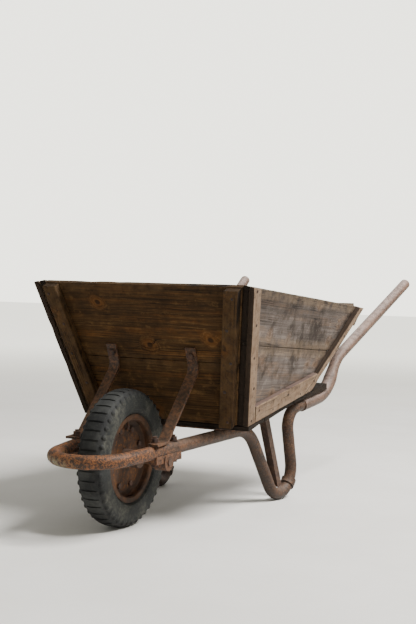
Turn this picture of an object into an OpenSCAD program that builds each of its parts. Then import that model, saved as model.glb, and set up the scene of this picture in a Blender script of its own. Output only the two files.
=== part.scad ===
// Old wheelbarrow: a timber tray on a bent tube frame, with one pneumatic wheel.
// Millimetres. +Z is up, +Y runs from the wheel towards the handles, X is across.
// The origin is on the ground, at the centre of the overall box.
// Inside the file y = 0 is the axle; place() moves everything to the origin above.

/* [Wheel] */
// Outside diameter of the tyre
tyre_d = 354; // [320:1:420]
// Width of the tyre
tyre_w = 72; // [60:1:88]
// Thickness of the tyre's casing
tyre_wall = 9; // [6:0.5:11]
// Number of grooves across the tread
groove_count = 44; // [24:1:56]
// Width of a tread groove
groove_w = 5; // [3:0.5:7]
// Depth of a tread groove
groove_depth = 4; // [2:0.5:6]
// Bead seat diameter of the rim
rim_d = 203; // [180:1:230]
// Height of the rim's flange above the bead seat
rim_flange_h = 12; // [8:0.5:16]
// Width of the rim over its flanges
rim_w = 58; // [50:1:64]
// Thickness of the pressed rim steel
rim_gauge = 3; // [2:0.5:4]
// Number of bolts that join the rim halves
rim_bolt_count = 8; // [4:1:10]
// Diameter of the circle of rim bolts
rim_bolt_circle = 150; // [130:1:156]
// Diameter of a rim bolt
rim_bolt_d = 8; // [6:1:10]
// Outside diameter of the hub tube
hub_d = 46; // [38:1:60]
// Length of the hub
hub_len = 104; // [84:1:120]
// Thickness of the hub's flange between the rim halves
hub_flange_t = 6; // [4:1:8]
// Diameter of the axle
axle_d = 20; // [16:1:24]

/* [Bearings] */
// Thickness of a bearing block along the axle
block_t = 34; // [30:1:38]
// Length of a bearing block's flange along the tube
block_len = 108; // [96:1:130]
// Radius of the lobe around the axle
block_lobe_r = 23; // [18:1:27]
// Thickness of the flange
block_flange_t = 12; // [8:1:14]
// Distance from the axle to each bearing bolt along the tube
block_bolt_y = 40; // [34:1:46]
// Diameter of the bearing bolts
block_bolt_d = 10; // [8:1:12]

/* [Frame] */
// Outside diameter of the frame tube
tube_d = 35; // [28:1:40]
// Wall thickness of the tubes
tube_wall = 3; // [2:0.5:4]
// Distance from the centre plane to the tube at the axle
track_half = 120; // [114:1:140]
// Angle at which each side of the frame spreads towards the handles
splay_angle = 7.6; // [5:0.1:10]
// Angle at which the frame rises from the wheel towards the tray
rise_angle = 2.9; // [1:0.1:4]
// Gap between the tyre and the loop of tube in front of it
loop_gap = 41; // [20:1:60]
// Distance from the axle to the knee where the tube turns down into the leg
knee_reach = 405; // [360:1:460]
// Slope of the front of the leg below the horizontal
leg_slope = 54.5; // [48:0.5:62]
// Bend radius of the knee
knee_r = 110; // [80:1:130]
// Bend radius of the foot of the leg
foot_r = 70; // [56:1:84]
// Heading of the rear of the leg, where 90 is straight up
rear_leg_heading = 104; // [98:0.5:110]
// Bend radius at the top of the rear of the leg
hip_r = 55; // [45:1:65]
// Outside diameter of the collar where the two leg tubes meet
collar_d = 43; // [41:1:48]

/* [Handles] */
// Outside diameter of the open lower end of a handle tube
socket_d = 42; // [41:1:48]
// Depth to which the leg tube enters the handle tube
socket_depth = 90; // [60:1:110]
// Length from the mouth of the socket to the first bend of the handle
handle_run = 161; // [150:1:200]
// Bend radius of the first bend of the handle
handle_bend_r = 125; // [90:1:135]
// Heading of the steep part of the handle
handle_steep = 57; // [50:0.5:62]
// Length between the two bends of the handle
handle_rise_len = 131; // [125:1:160]
// Bend radius of the second bend of the handle
grip_bend_r = 120; // [90:1:140]
// Heading of the grip
grip_heading = 25.4; // [20:0.1:32]
// Length from the second bend to the end of the grip
grip_len = 591; // [480:1:640]

/* [Stays] */
// Width of the flat iron stays
stay_w = 30; // [24:1:36]
// Thickness of the flat iron stays
stay_t = 6; // [4:0.5:8]
// Distance of each stay from the centre plane
stay_x = 120; // [112:1:130]
// Height of the stay's upper end above the bottom of the front, along the board
stay_top = 226; // [200:1:300]
// Height of the bolt through the front, along the board
stay_bolt = 203; // [180:1:270]
// Height at which the stay leaves the front, along the board
stay_bend = 160; // [140:1:220]
// Diameter of the stay bolts
stay_bolt_d = 10; // [8:1:12]

/* [Tray] */
// Width of the tray over its side battens at the front of the floor
tray_w = 506; // [440:1:560]
// Lean of the sides away from upright
side_lean = 11.7; // [6:0.1:16]
// Lean of the front board away from upright
front_lean = 23.5; // [18:0.1:30]
// Lean of the tail board away from upright
tail_lean = 52.4; // [40:0.1:56]
// Distance from the axle to the front of the floor
floor_start = 223; // [200:1:260]
// Length of the floor from front to tail
floor_len = 438; // [380:1:520]
// Angle at which the floor rises towards the tail
floor_rise = 8.8; // [5:0.1:11]
// Height of the rim above the ground at its front
rim_front_z = 622; // [560:1:700]
// Height of the rim above the ground at the tail
rim_tail_z = 569; // [520:1:640]
// Thickness of the tray boards
board_t = 18; // [14:1:24]
// Thickness of the floor boards
floor_t = 15; // [12:1:22]
// Number of floor boards
floor_boards = 4; // [3:1:6]
// Height of the upper side board
side_upper_h = 150; // [110:1:190]
// Height of the lower front board
front_lower_h = 184; // [150:1:240]
// Height of the lower tail board
tail_lower_h = 190; // [150:1:230]
// Thickness of the battens on the sides
side_batten_t = 16; // [10:1:20]
// Width of the front battens on the sides, behind the face of the front
side_batten_w = 39; // [30:1:60]
// Height of the bottom battens on the sides
bottom_batten_h = 48; // [34:1:60]
// Width of the rear battens on the sides
rear_batten_w = 26; // [20:1:40]
// Width of the battens on the front
front_batten_w = 40; // [30:1:50]
// Thickness of the battens on the front
front_batten_t = 24; // [16:1:30]
// Inset of the front battens from the edge of the front
front_batten_inset = 3; // [2:1:24]
// Distance by which the front side batten stands in front of the board ends
corner_stand = 5; // [2:1:14]
// Width of the rail along the top of the tail
tail_rail_w = 70; // [50:1:90]
// Thickness of the rail along the top of the tail
tail_rail_t = 18; // [12:1:24]

/* [Bearers] */
// Width of the timber bearers under the floor
bearer_w = 44; // [34:1:56]
// Height of the timber bearers
bearer_h = 20; // [16:1:26]
// Length of a bearer behind the tail of the floor
bearer_tail = 175; // [150:1:190]
// Thickness of the flat iron strap under the front of the floor
strap_t = 4; // [3:0.5:6]
// Width of the flat iron strap under the front of the floor
strap_w = 36; // [30:1:46]
// Width of the angle iron leg braces
brace_w = 22; // [18:1:28]
// Thickness of the angle iron leg braces
brace_t = 4; // [3:0.5:5]

/* [Fits] */
// Radial clearance of the axle in its bearing blocks
axle_fit = 0.05; // [0.02:0.01:0.1]
// Gap left between boards that lie edge to edge
board_gap = 0.6; // [0.3:0.1:0.9]
// Gap left between pieces that rest on each other
seat_gap = 0.3; // [0.1:0.05:0.4]
// Radial clearance of a bolt in its hole
bolt_fit = 0.3; // [0.2:0.05:0.6]

/* [Hidden] */
$fn = 64;

// Colours of the finishes
rust = [0.36, 0.24, 0.17];
dark_rust = [0.25, 0.17, 0.13];
rim_rust = [0.42, 0.26, 0.15];
front_wood = [0.30, 0.21, 0.14];
side_wood = [0.45, 0.39, 0.34];
batten_wood = [0.62, 0.50, 0.40];
floor_wood = [0.24, 0.19, 0.16];
rubber = [0.17, 0.19, 0.20];

// Wheel
axle_z = tyre_d / 2;
bead_r = rim_d / 2;
flange_r = bead_r + rim_flange_h;
well_slope_w = 8;
disc_r = bead_r - rim_gauge - 12;
hub_flange_r = rim_bolt_circle / 2 + 12;
groove_pitch = 360 / groove_count;
block_out_x = track_half + tube_d / 2 - 2;
block_in_x = block_out_x - block_t;
axle_len = 2 * (block_out_x + 4);
collar_t = 10;
collar_side_gap = 0.4;
nut_af = 1.7;
nut_t = 0.8;

// Frame: u runs along the ground under one side of the frame, from the axle
side_az = atan(tan(splay_angle) / cos(rise_angle));
side_el = asin(cos(splay_angle) * sin(rise_angle));
tube_z = axle_z + tube_d / 2 + 12.2;
loop_front = axle_z + loop_gap + tube_d / 2;
// Distance from the axle to the loop's centre, in the plane of the loop
loop_f = loop_front / cos(rise_angle);
loop_s = (loop_f - track_half * cos(splay_angle)) / (1 - sin(splay_angle));
loop_r = loop_f - loop_s;

// Floor: t runs up the floor from its front edge, n is square to the floor
strap_t0 = 6;
strap_y = floor_start + strap_t0 * cos(floor_rise) + (floor_t + strap_t) * sin(floor_rise);
tube_top_at_strap = tube_z + strap_y * tan(rise_angle) + tube_d / 2 / cos(rise_angle);
floor_z = tube_top_at_strap + seat_gap - strap_t0 * sin(floor_rise)
  + (floor_t + strap_t) * cos(floor_rise);
function floor_top(y) = floor_z + (y - floor_start) * tan(floor_rise);
function below_floor(y, n) = floor_top(y) - n / cos(floor_rise);
floor_end = floor_start + floor_len * cos(floor_rise);
floor_end_z = floor_top(floor_end);

// Side of the frame: points are [u, z]
function frame_z(u) = tube_z + u * tan(side_el);
knee = [knee_reach, frame_z(knee_reach)];
foot_centre_z = foot_r + tube_d / 2;
leg_run = (knee[1] + foot_r * cos(leg_slope) - foot_centre_z) / sin(leg_slope);
foot_centre = [knee[0] + leg_run * cos(leg_slope) + foot_r * sin(leg_slope), foot_centre_z];
// Heading of the foot's bend at which the front tube ends in the collar
joint_heading = 52;
collar_half = 9;
rear_leg_start = foot_centre + foot_r * [sin(rear_leg_heading), -cos(rear_leg_heading)];
// Heading of the handle's lower run, which lies along the bearer
run_heading = atan(tan(floor_rise) * cos(side_az));
run_drop = floor_t + bearer_h + seat_gap + socket_d / 2;
function run_z(u) = below_floor(u * cos(side_az), run_drop);
// The hip is where the rear of the leg meets the line of the handle's lower run
hip_t = (run_z(rear_leg_start[0]) - rear_leg_start[1])
  / (sin(rear_leg_heading) - cos(rear_leg_heading) * tan(run_heading));
hip = rear_leg_start + hip_t * [cos(rear_leg_heading), sin(rear_leg_heading)];
hip_turn = rear_leg_heading - run_heading;
hip_end = hip + hip_r * tan(hip_turn / 2) * heading(run_heading);
mouth_gap = 32;
mouth = hip_end + mouth_gap * heading(run_heading);
handle_bend = mouth + handle_run * heading(run_heading);
grip_bend = handle_bend + handle_rise_len * heading(handle_steep);
grip_end = grip_bend + (grip_len - tube_d / 2) * heading(grip_heading);
first_tangent = handle_bend_r * tan((handle_steep - run_heading) / 2);
second_tangent = grip_bend_r * tan((handle_steep - grip_heading) / 2);
taper_start = handle_bend + first_tangent * heading(handle_steep);
taper_end = grip_bend - second_tangent * heading(handle_steep);
taper_len = handle_rise_len - first_tangent - second_tangent;

// Overall box, which sets the origin
back_y = grip_end[0] * cos(side_az) + tube_d / 2;
front_y = -loop_front - tube_d / 2;
middle_y = (back_y + front_y) / 2;

// Tray
side_outer_x = tray_w / 2;
side_inner_off = board_t + side_batten_t;
tail_rise = tan(tail_lean);
rim_tail_y = floor_end + (rim_tail_z - floor_end_z) * tail_rise;
rim_front_y = floor_start - (rim_front_z - floor_z) * tan(front_lean);
rim_fall = (rim_front_z - rim_tail_z) / (rim_tail_y - rim_front_y);
reach = 2000;

function heading(a) = [cos(a), sin(a)];
function angle_of(v) = atan2(v[1], v[0]);
function unit(v) = v / norm(v);

// ---- placing ----

module place() { translate([0, -middle_y, 0]) children(); }

// A copy on the left of what is drawn on the right
module left() { mirror([1, 0, 0]) children(); }

// Both sides of the frame
module both() {
  children();
  mirror([1, 0, 0]) children();
}

// Local X along one side of the frame, local Y up, local Z towards the centre
module side_plane() {
  translate([track_half, 0, 0]) rotate([0, 0, 90 - side_az]) rotate([90, 0, 0]) children();
}

// Local Y up the floor from its front edge, local Z square to it
module floor_plane() {
  translate([0, floor_start, floor_z]) rotate([floor_rise, 0, 0]) children();
}

// Local Y up the front board, local Z square out of its face
module front_plane() {
  translate([0, floor_start, floor_z]) rotate([90 + front_lean, 0, 0]) children();
}

// Local Y up the tail board, local Z square into the tray
module tail_plane() {
  translate([0, floor_end, floor_end_z]) rotate([90 - tail_lean, 0, 0]) children();
}

// Local X along the barrow, local Y up the right side, local Z square out of it
module side_face() {
  translate([side_outer_x, 0, floor_z]) rotate([0, side_lean, 0]) rotate([90, 0, 90])
    children();
}

// ---- shared shapes ----

function turn_at(points, i) =
  let (t = angle_of(points[i + 1] - points[i]) - angle_of(points[i] - points[i - 1]))
  t > 180 ? t - 360 : t < -180 ? t + 360 : t;
function trim_at(points, radii, i) =
  i == 0 || i == len(points) - 1 ? 0 : radii[i] * tan(abs(turn_at(points, i)) / 2);

// Steps of a path: straight length, turn after it, bend radius
function path_steps(points, radii) = [for (i = [0 : len(points) - 2])
  [norm(points[i + 1] - points[i]) - trim_at(points, radii, i) - trim_at(points, radii, i + 1),
   i == len(points) - 2 ? 0 : turn_at(points, i + 1), radii[i + 1]]];

// Straights and bends stop a little short of each other and meet inside a hair-thin band
band_half = 0.6;
band_short = 0.4;
band_rise = 0.15;

// A bend that starts along X at the origin and turns left or right about local Z
module bend(turn, radius, short_start = 0, short_end = 0) {
  side = sign(turn);
  at_start = short_start / radius * 180 / PI;
  at_end = short_end / radius * 180 / PI;
  first = side > 0 ? -90 + at_start : 90 - abs(turn) + at_end;
  translate([0, side * radius, 0]) rotate([0, 0, first])
    rotate_extrude(angle = abs(turn) - at_start - at_end, $fn = 96)
      translate([radius, 0]) children();
}

module band(d) {
  rotate([0, 90, 0]) translate([0, 0, -band_half])
    cylinder(h = 2 * band_half, d = d + 2 * band_rise);
}

// Moves to the end of a bend, with local X along the next straight
module after_bend(turn, radius, roll) {
  side = sign(turn);
  translate([0, side * radius, 0]) rotate([0, 0, turn]) translate([0, -side * radius, 0])
    rotate([roll, 0, 0]) children();
}

// A flat bar carried through path steps, with its thickness in the plane of the bends
module bar_run(steps, w, t, i = 0) {
  last = len(steps) - 1;
  if (i <= last) {
    s = steps[i];
    bent = s[1] != 0;
    from = i == 0 ? 0 : band_short;
    to = s[0] - (bent ? band_short : 0);
    translate([from, -t / 2, -w / 2]) cube([to - from, t, w]);
    if (i > 0) bar_band(w, t);
    if (bent) translate([s[0], 0, 0]) {
      bar_band(w, t);
      bend(s[1], s[2], band_short, band_short) square([t, w], center = true);
      after_bend(s[1], s[2], 0) bar_run(steps, w, t, i + 1);
    }
  }
}

module bar_band(w, t) {
  cube([2 * band_half, t + 2 * band_rise, w + 2 * band_rise], center = true);
}

// Tube steps are [straight length, turn, bend radius, roll after the bend, then outside
// diameter and wall where the straight starts and where it ends]

// A solid rod along the steps: the outside of the tube, or its bore
module rod_run(steps, bore, open_start = true, i = 0) {
  last = len(steps) - 1;
  if (i <= last) {
    s = steps[i];
    d = s[4] - (bore ? 2 * s[5] : 0);
    d_end = s[6] - (bore ? 2 * s[7] : 0);
    before = i == 0 ? 0 : steps[i - 1][6] - (bore ? 2 * steps[i - 1][7] : 0);
    bent = s[1] != 0;
    from = i == 0 && open_start ? 0 : band_short;
    to = s[0] - (i == last && !bent ? 0 : band_short);
    if (i > 0) band(max(d, before));
    if (s[0] > 2 * band_short) {
      translate([from, 0, 0]) rotate([0, 90, 0]) cylinder(h = to - from, d1 = d, d2 = d_end);
      if (bent) translate([s[0], 0, 0]) band(d_end);
    }
    translate([s[0], 0, 0]) {
      if (bent) bend(s[1], s[2], s[0] > 0 ? band_short : from, i == last ? 0 : band_short)
        circle(d = d_end);
      after_bend(s[1], s[2], s[3]) rod_run(steps, bore, open_start, i + 1);
    }
  }
}

// The steps with the last straight cut short
function cut_last(steps, by) = [for (i = [0 : len(steps) - 1])
  i == len(steps) - 1 ? concat([steps[i][0] - by], [for (k = [1 : 7]) steps[i][k]]) : steps[i]];

module tube_run(steps, closed = 0, open_start = true) {
  difference() {
    rod_run(steps, false, open_start);
    rod_run(closed > 0 ? cut_last(steps, closed) : steps, true, open_start);
  }
}

module ring(d, wall) {
  difference() {
    circle(d = d);
    circle(d = d - 2 * wall);
  }
}

// Hexagon nut or head, from z = 0 upwards
module hex(d, h) { cylinder(h = h, d = d * nut_af * 2 / sqrt(3), $fn = 6); }

module nut(d) {
  difference() {
    hex(d, d * nut_t);
    translate([0, 0, -1]) cylinder(h = d * nut_t + 2, d = d + bolt_fit);
  }
}

module washer(d, t) {
  difference() {
    cylinder(h = t, d = 2.2 * d);
    translate([0, 0, -1]) cylinder(h = t + 2, d = d + 2 * bolt_fit);
  }
}

// Everything above the top of the floor
module above_floor() { floor_plane() translate([-reach, -reach, 0]) cube([2 * reach, 2 * reach, reach]); }

// Everything between the inner faces of the sides
module between_sides(gap) {
  foot = side_outer_x - (side_inner_off + gap) / cos(side_lean);
  low = -200;
  high = 700;
  function half(z) = foot + z * tan(side_lean);
  translate([0, reach, floor_z]) rotate([90, 0, 0]) linear_extrude(height = 2 * reach)
    polygon([[-half(low), low], [half(low), low], [half(high), high], [-half(high), high]]);
}

// ---- wheel ----

// Half of the tyre's outline, from the bead to the crown, as [radius, x]
function tyre_curve(inset) =
  let (mid = (axle_z + bead_r) / 2 + 1, h = axle_z - mid - inset, w = tyre_w / 2 - inset)
  [for (a = [-48 : 12 : 84])
    [mid + h * sign(sin(a)) * pow(abs(sin(a)), 0.62), w * pow(cos(a), 0.72)]];
// The other half of an outline, run backwards, forwards, or the same half run backwards
function flip(pts) = [for (i = [len(pts) - 1 : -1 : 0]) [pts[i][0], -pts[i][1]]];
function mirrored(pts) = [for (p = pts) [p[0], -p[1]]];
function back(pts) = [for (i = [len(pts) - 1 : -1 : 0]) pts[i]];

module wheel_axis() { translate([0, 0, axle_z]) rotate([0, 90, 0]) children(); }

module tyre_groove() {
  translate([axle_z - groove_depth, -groove_w / 2, -tyre_w / 2 - 1])
    cube([groove_depth + 5, groove_w, tyre_w + 2]);
}

module tyre() {
  bead_x = rim_w / 2 - rim_gauge - seat_gap;
  outer = [for (p = tyre_curve(0)) if (p[0] > flange_r + 1 && p[1] > 1) p];
  inner = [for (p = tyre_curve(tyre_wall)) if (p[0] > flange_r + 1 && p[1] > 1) p];
  out_half = concat([[bead_r + seat_gap, bead_x - 3], [bead_r + 3.5, bead_x],
    [flange_r + 1, bead_x]], outer);
  in_half = concat([[bead_r + seat_gap, bead_x - bead_t],
    [flange_r + 1, bead_x - bead_t]], inner);
  color(rubber) place() wheel_axis() difference() {
    rotate_extrude($fn = 96)
      polygon(concat(out_half, flip(out_half), mirrored(in_half), back(in_half)));
    for (i = [0 : groove_count - 1]) rotate([0, 0, (i + 0.5) * groove_pitch]) tyre_groove();
  }
}

bead_t = 7;
inner_r = (tyre_w / 2 - tyre_wall) - 5;
inner_mid = bead_r + inner_r + 12;

module inner_tube() {
  color([0.1, 0.1, 0.1]) place() wheel_axis()
    rotate_extrude($fn = 96) translate([inner_mid, 0]) ring(2 * inner_r, 2.5);
}

valve_d = 8;
valve_angle = 180;
valve_x = 13;
valve_edge = valve_x - valve_d / 2 + 0.5;
valve_top = inner_mid - sqrt(pow(inner_r, 2) - pow(valve_edge, 2)) - seat_gap;
valve_len = 34;

module valve_line() {
  rotate([0, 0, valve_angle]) translate([0, 0, valve_x]) rotate([0, 90, 0]) children();
}

module valve_stem() {
  color(dark_rust) place() wheel_axis() valve_line() {
    translate([0, 0, valve_top - valve_len]) cylinder(h = valve_len, d = valve_d - 1);
    translate([0, 0, valve_top - valve_len - 8]) cylinder(h = 9, d = valve_d);
  }
}

// Half of the rim: a flat disc, a dish out to the bead seat and a turned flange
module rim_half() {
  g = rim_gauge;
  face = hub_flange_t / 2;
  seat_in = well_slope_w + face;
  edge = rim_w / 2;
  hole_r = hub_d / 2 + 2 * bolt_fit;
  difference() {
    rotate_extrude($fn = 96) polygon([
      [hole_r, face], [disc_r, face], [disc_r + 5, face + 1.5], [bead_r, seat_in],
      [bead_r, edge - g - 2], [bead_r + 2, edge - g], [flange_r - 2, edge - g],
      [flange_r, edge - g + 1], [flange_r, edge], [bead_r, edge], [bead_r - g, edge - g],
      [bead_r - g, seat_in + 2], [disc_r + 3, face + g + 1], [disc_r, face + g],
      [hole_r, face + g]]);
    for (i = [0 : rim_bolt_count - 1]) rotate([0, 0, (i + 0.5) * 360 / rim_bolt_count])
      translate([rim_bolt_circle / 2, 0, 0])
        cylinder(h = rim_w, d = rim_bolt_d + 2 * bolt_fit);
    valve_line() cylinder(h = flange_r, d = valve_d + 2 * bolt_fit);
  }
}

module rim_half_right() { color(rim_rust) place() wheel_axis() rim_half(); }
module rim_half_left() { color(rim_rust) place() wheel_axis() rotate([180, 0, 0]) rim_half(); }

module wheel_hub() {
  color(dark_rust) place() wheel_axis() difference() {
    union() {
      translate([0, 0, -hub_len / 2]) cylinder(h = hub_len, d = hub_d);
      translate([0, 0, -hub_flange_t / 2]) cylinder(h = hub_flange_t, r = hub_flange_r);
    }
    translate([0, 0, -hub_len]) cylinder(h = 2 * hub_len, d = axle_d + 2 * axle_fit);
    for (i = [0 : rim_bolt_count - 1]) rotate([0, 0, (i + 0.5) * 360 / rim_bolt_count])
      translate([rim_bolt_circle / 2, 0, -rim_w])
        cylinder(h = 2 * rim_w, d = rim_bolt_d + 2 * bolt_fit);
  }
}

rim_grip = hub_flange_t / 2 + rim_gauge;

module around_rim_bolts() {
  place() wheel_axis() for (i = [0 : rim_bolt_count - 1])
    rotate([0, 0, (i + 0.5) * 360 / rim_bolt_count]) translate([rim_bolt_circle / 2, 0, 0])
      children();
}

module rim_bolts() {
  color(dark_rust) around_rim_bolts() {
    translate([0, 0, rim_grip]) hex(rim_bolt_d, rim_bolt_d * 0.6);
    translate([0, 0, -rim_grip - rim_bolt_d * nut_t - 3])
      cylinder(h = 2 * rim_grip + rim_bolt_d * nut_t + 3, d = rim_bolt_d);
  }
}

module rim_nuts() {
  color(dark_rust) around_rim_bolts() mirror([0, 0, 1]) translate([0, 0, rim_grip])
    nut(rim_bolt_d);
}

module axle() {
  color(dark_rust) place() wheel_axis() translate([0, 0, -axle_len / 2])
    cylinder(h = axle_len, d = axle_d);
}

module axle_collars() {
  color(dark_rust) place() both() wheel_axis()
    translate([0, 0, block_in_x - collar_side_gap - collar_t]) difference() {
      cylinder(h = collar_t, d = axle_d + 16);
      translate([0, 0, -1]) cylinder(h = collar_t + 2, d = axle_d + 2 * axle_fit);
    }
}

// ---- bearings ----

// Local Y along the tube and Z up square to it, at a distance u from the axle
module on_tube(u) {
  translate([track_half + u * sin(side_az), u * cos(side_az), frame_z(u)])
    rotate([0, 0, -side_az]) rotate([side_el, 0, 0]) children();
}

flange_under = tube_d / 2 + block_flange_t;
// The casting reaches up round the lower quarter of the tube
saddle_up = 8;

module frame_line(d) {
  side_plane() translate([-block_len, frame_z(-block_len)]) rotate([0, 0, side_el])
    rotate([0, 90, 0]) cylinder(h = 2 * block_len, d = d);
}

module bearing_block() {
  flange_w = tube_d - 4;
  difference() {
    union() {
      on_tube(0) translate([-flange_w / 2, -block_len / 2, -flange_under])
        cube([flange_w, block_len, block_flange_t + saddle_up]);
      translate([block_in_x, 0, axle_z]) rotate([0, 90, 0])
        cylinder(h = block_t, r = block_lobe_r);
      translate([block_in_x, -block_lobe_r, axle_z])
        cube([block_t, 2 * block_lobe_r, tube_z - tube_d / 2 - axle_z]);
    }
    translate([block_in_x - 1, 0, axle_z]) rotate([0, 90, 0])
      cylinder(h = block_t + 30, d = axle_d + 2 * axle_fit);
    frame_line(tube_d + 2 * seat_gap);
    for (u = [-1, 1] * block_bolt_y) on_tube(u) translate([0, 0, -2 * flange_under])
      cylinder(h = 2 * flange_under, d = block_bolt_d + 2 * bolt_fit);
  }
}

module bearing_block_right() { color(rust) place() bearing_block(); }
module bearing_block_left() { color(rust) place() left() bearing_block(); }

washer_t = 2.5;
foot_under = tube_d / 2 + seat_gap;
flat_top = foot_under;
front_stack = flat_top + stay_t + seat_gap;
head_drop = flange_under + seat_gap;

module bearing_bolts() {
  color(dark_rust) place() both() for (u = [-1, 1] * block_bolt_y) on_tube(u) {
    top = (u < 0 ? front_stack : flat_top) + washer_t + block_bolt_d * nut_t + 5;
    translate([0, 0, -head_drop - block_bolt_d * 0.6]) hex(block_bolt_d, block_bolt_d * 0.6);
    translate([0, 0, -head_drop]) cylinder(h = head_drop + top, d = block_bolt_d);
  }
}

module bearing_washers() {
  color(rust) place() both() for (u = [-1, 1] * block_bolt_y) on_tube(u)
    translate([0, 0, u < 0 ? front_stack : flat_top]) washer(block_bolt_d, washer_t);
}

module bearing_nuts() {
  color(dark_rust) place() both() for (u = [-1, 1] * block_bolt_y) on_tube(u)
    translate([0, 0, (u < 0 ? front_stack : flat_top) + washer_t]) nut(block_bolt_d);
}

// ---- frame ----

knee_turn = leg_slope + side_el;
knee_start = knee - knee_r * tan(knee_turn / 2) * heading(side_el);
foot_start = foot_centre + foot_r * [-sin(leg_slope), -cos(leg_slope)];
side_run = knee_start[0] / cos(side_el) + (loop_s + loop_r * sin(splay_angle)) / cos(splay_angle);
leg_len = norm(foot_start - knee) - knee_r * tan(knee_turn / 2);
// Turns the bending plane from the plane of the loop to upright
loop_roll = atan2(cos(rise_angle), sin(splay_angle) * sin(rise_angle));

// One half of the front tube, from the middle of the loop to the foot of the leg
module half_frame(bore) {
  from_loop() rod_run([
    [0, 90 - splay_angle, loop_r, loop_roll, tube_d, tube_wall, tube_d, tube_wall],
    [side_run, -knee_turn, knee_r, 0, tube_d, tube_wall, tube_d, tube_wall],
    [leg_len, leg_slope + joint_heading, foot_r, 0, tube_d, tube_wall, tube_d, tube_wall]],
    bore, false);
}

module from_loop() {
  translate([0, 0, tube_z]) rotate([rise_angle, 0, 0]) translate([0, -loop_f, 0]) children();
}

module front_frame_tube() {
  color(rust) place() difference() {
    union() {
      both() half_frame(false);
      from_loop() band(tube_d);
    }
    both() half_frame(true);
    from_loop() band(tube_d - 2 * tube_wall);
    both() for (u = [-1, 1] * block_bolt_y) on_tube(u) translate([0, 0, -tube_d]) rotate(90)
      cylinder(h = 2 * tube_d, d = block_bolt_d + 2 * bolt_fit);
  }
}

// Starts a run in the plane of one side, at a point and heading
module from_point(p, a) { side_plane() translate([p[0], p[1], 0]) rotate([0, 0, a]) children(); }

joint_gap = seat_gap / foot_r * 180 / PI;
collar_start = joint_heading - collar_half;
collar_wall = (collar_d - tube_d) / 2;

// The leg's rear tube starts in a swaged collar and ends inside the handle's socket
module rear_leg_tube() {
  c = collar_wall;
  from_point(foot_centre + foot_r * [sin(collar_start), -cos(collar_start)], collar_start)
    tube_run(concat([
      [0, collar_half + joint_gap, foot_r, 0, collar_d, c - seat_gap, collar_d, c - seat_gap],
      [0, collar_half - joint_gap, foot_r, 0, collar_d, c + tube_wall, collar_d, c + tube_wall],
      [0, rear_leg_heading - joint_heading - collar_half, foot_r, 0,
        tube_d, tube_wall, tube_d, tube_wall],
      [norm(hip - rear_leg_start) - hip_r * tan(hip_turn / 2), -hip_turn, hip_r, 0,
        tube_d, tube_wall, tube_d, tube_wall],
      [mouth_gap + socket_depth, 0, 0, 0, tube_d, tube_wall, tube_d, tube_wall]]));
}

module rear_leg_tube_right() { color(rust) place() rear_leg_tube(); }
module rear_leg_tube_left() { color(rust) place() left() rear_leg_tube(); }

module handle_tube() {
  sw = (socket_d - tube_d) / 2 - seat_gap;
  steps = [
    [handle_run - first_tangent, handle_steep - run_heading, handle_bend_r, 0,
      socket_d, sw, socket_d, sw],
    [taper_len, grip_heading - handle_steep, grip_bend_r, 0, socket_d, sw, tube_d, tube_wall],
    [grip_len - second_tangent - tube_d / 2, 0, 0, 0, tube_d, tube_wall, tube_d, tube_wall]];
  from_point(mouth, run_heading) tube_run(steps, 4);
  from_point(grip_end, grip_heading) grip_cap();
}

// The closed round end of the grip, set into the end of the tube
module grip_cap() {
  r = tube_d / 2 - 0.3;
  rotate([0, 90, 0]) rotate_extrude()
    polygon([[0, -2], [r, -2], [r, 0.5 * r], [0.8 * r, 0.82 * r], [0.45 * r, r], [0, r]]);
}

module handle_tube_right() { color([0.45, 0.38, 0.35]) place() handle_tube(); }
module handle_tube_left() { color([0.45, 0.38, 0.35]) place() left() handle_tube(); }

// ---- stays ----

function on_front(w, out) =
  [floor_start - w * sin(front_lean) - out * cos(front_lean),
   floor_z + w * cos(front_lean) - out * sin(front_lean)];
stay_mid = stay_t / 2 + seat_gap;
foot_u = -block_bolt_y;
foot_y = foot_u * cos(side_az);
foot_z = frame_z(foot_u) + flat_top + stay_t / 2;

stay_path = [on_front(stay_top, stay_mid), on_front(stay_bend, stay_mid),
  [foot_y + 32, foot_z + 32 * tan(rise_angle)], [foot_y - 22, foot_z - 22 * tan(rise_angle)]];

module stay() {
  difference() {
    translate([stay_x, 0, 0]) rotate([90, 0, 90])
      translate([stay_path[0][0], stay_path[0][1], 0])
      rotate([0, 0, angle_of(stay_path[1] - stay_path[0])])
        bar_run(path_steps(stay_path, [0, 30, 26, 0]), stay_w, stay_t);
    on_tube(foot_u) cylinder(h = 2 * tube_d, d = block_bolt_d + 2 * bolt_fit);
    front_plane() translate([stay_x, stay_bolt, -1])
      cylinder(h = 3 * stay_t, d = stay_bolt_d + 2 * bolt_fit);
  }
}

module stay_right() { color(rust) place() stay(); }
module stay_left() { color(rust) place() left() stay(); }

module stay_bolts() {
  color(dark_rust) place() both() front_plane() translate([stay_x, stay_bolt, 0]) {
    translate([0, 0, stay_t + 2 * seat_gap]) hex(stay_bolt_d, stay_bolt_d * 0.6);
    translate([0, 0, -board_t - stay_bolt_d * nut_t - seat_gap - 4])
      cylinder(h = board_t + stay_t + stay_bolt_d * nut_t + 3 * seat_gap + 4, d = stay_bolt_d);
  }
}

module stay_nuts() {
  color(dark_rust) place() both() front_plane() translate([stay_x, stay_bolt, -board_t - seat_gap])
    mirror([0, 0, 1]) nut(stay_bolt_d);
}

// ---- floor ----

module front_strap() {
  half = track_half + floor_start * tan(side_az) + tube_d / 2;
  color(dark_rust) place() floor_plane()
    translate([-half, strap_t0, -floor_t - strap_t])
      cube([2 * half, strap_w, strap_t - seat_gap]);
}

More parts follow.
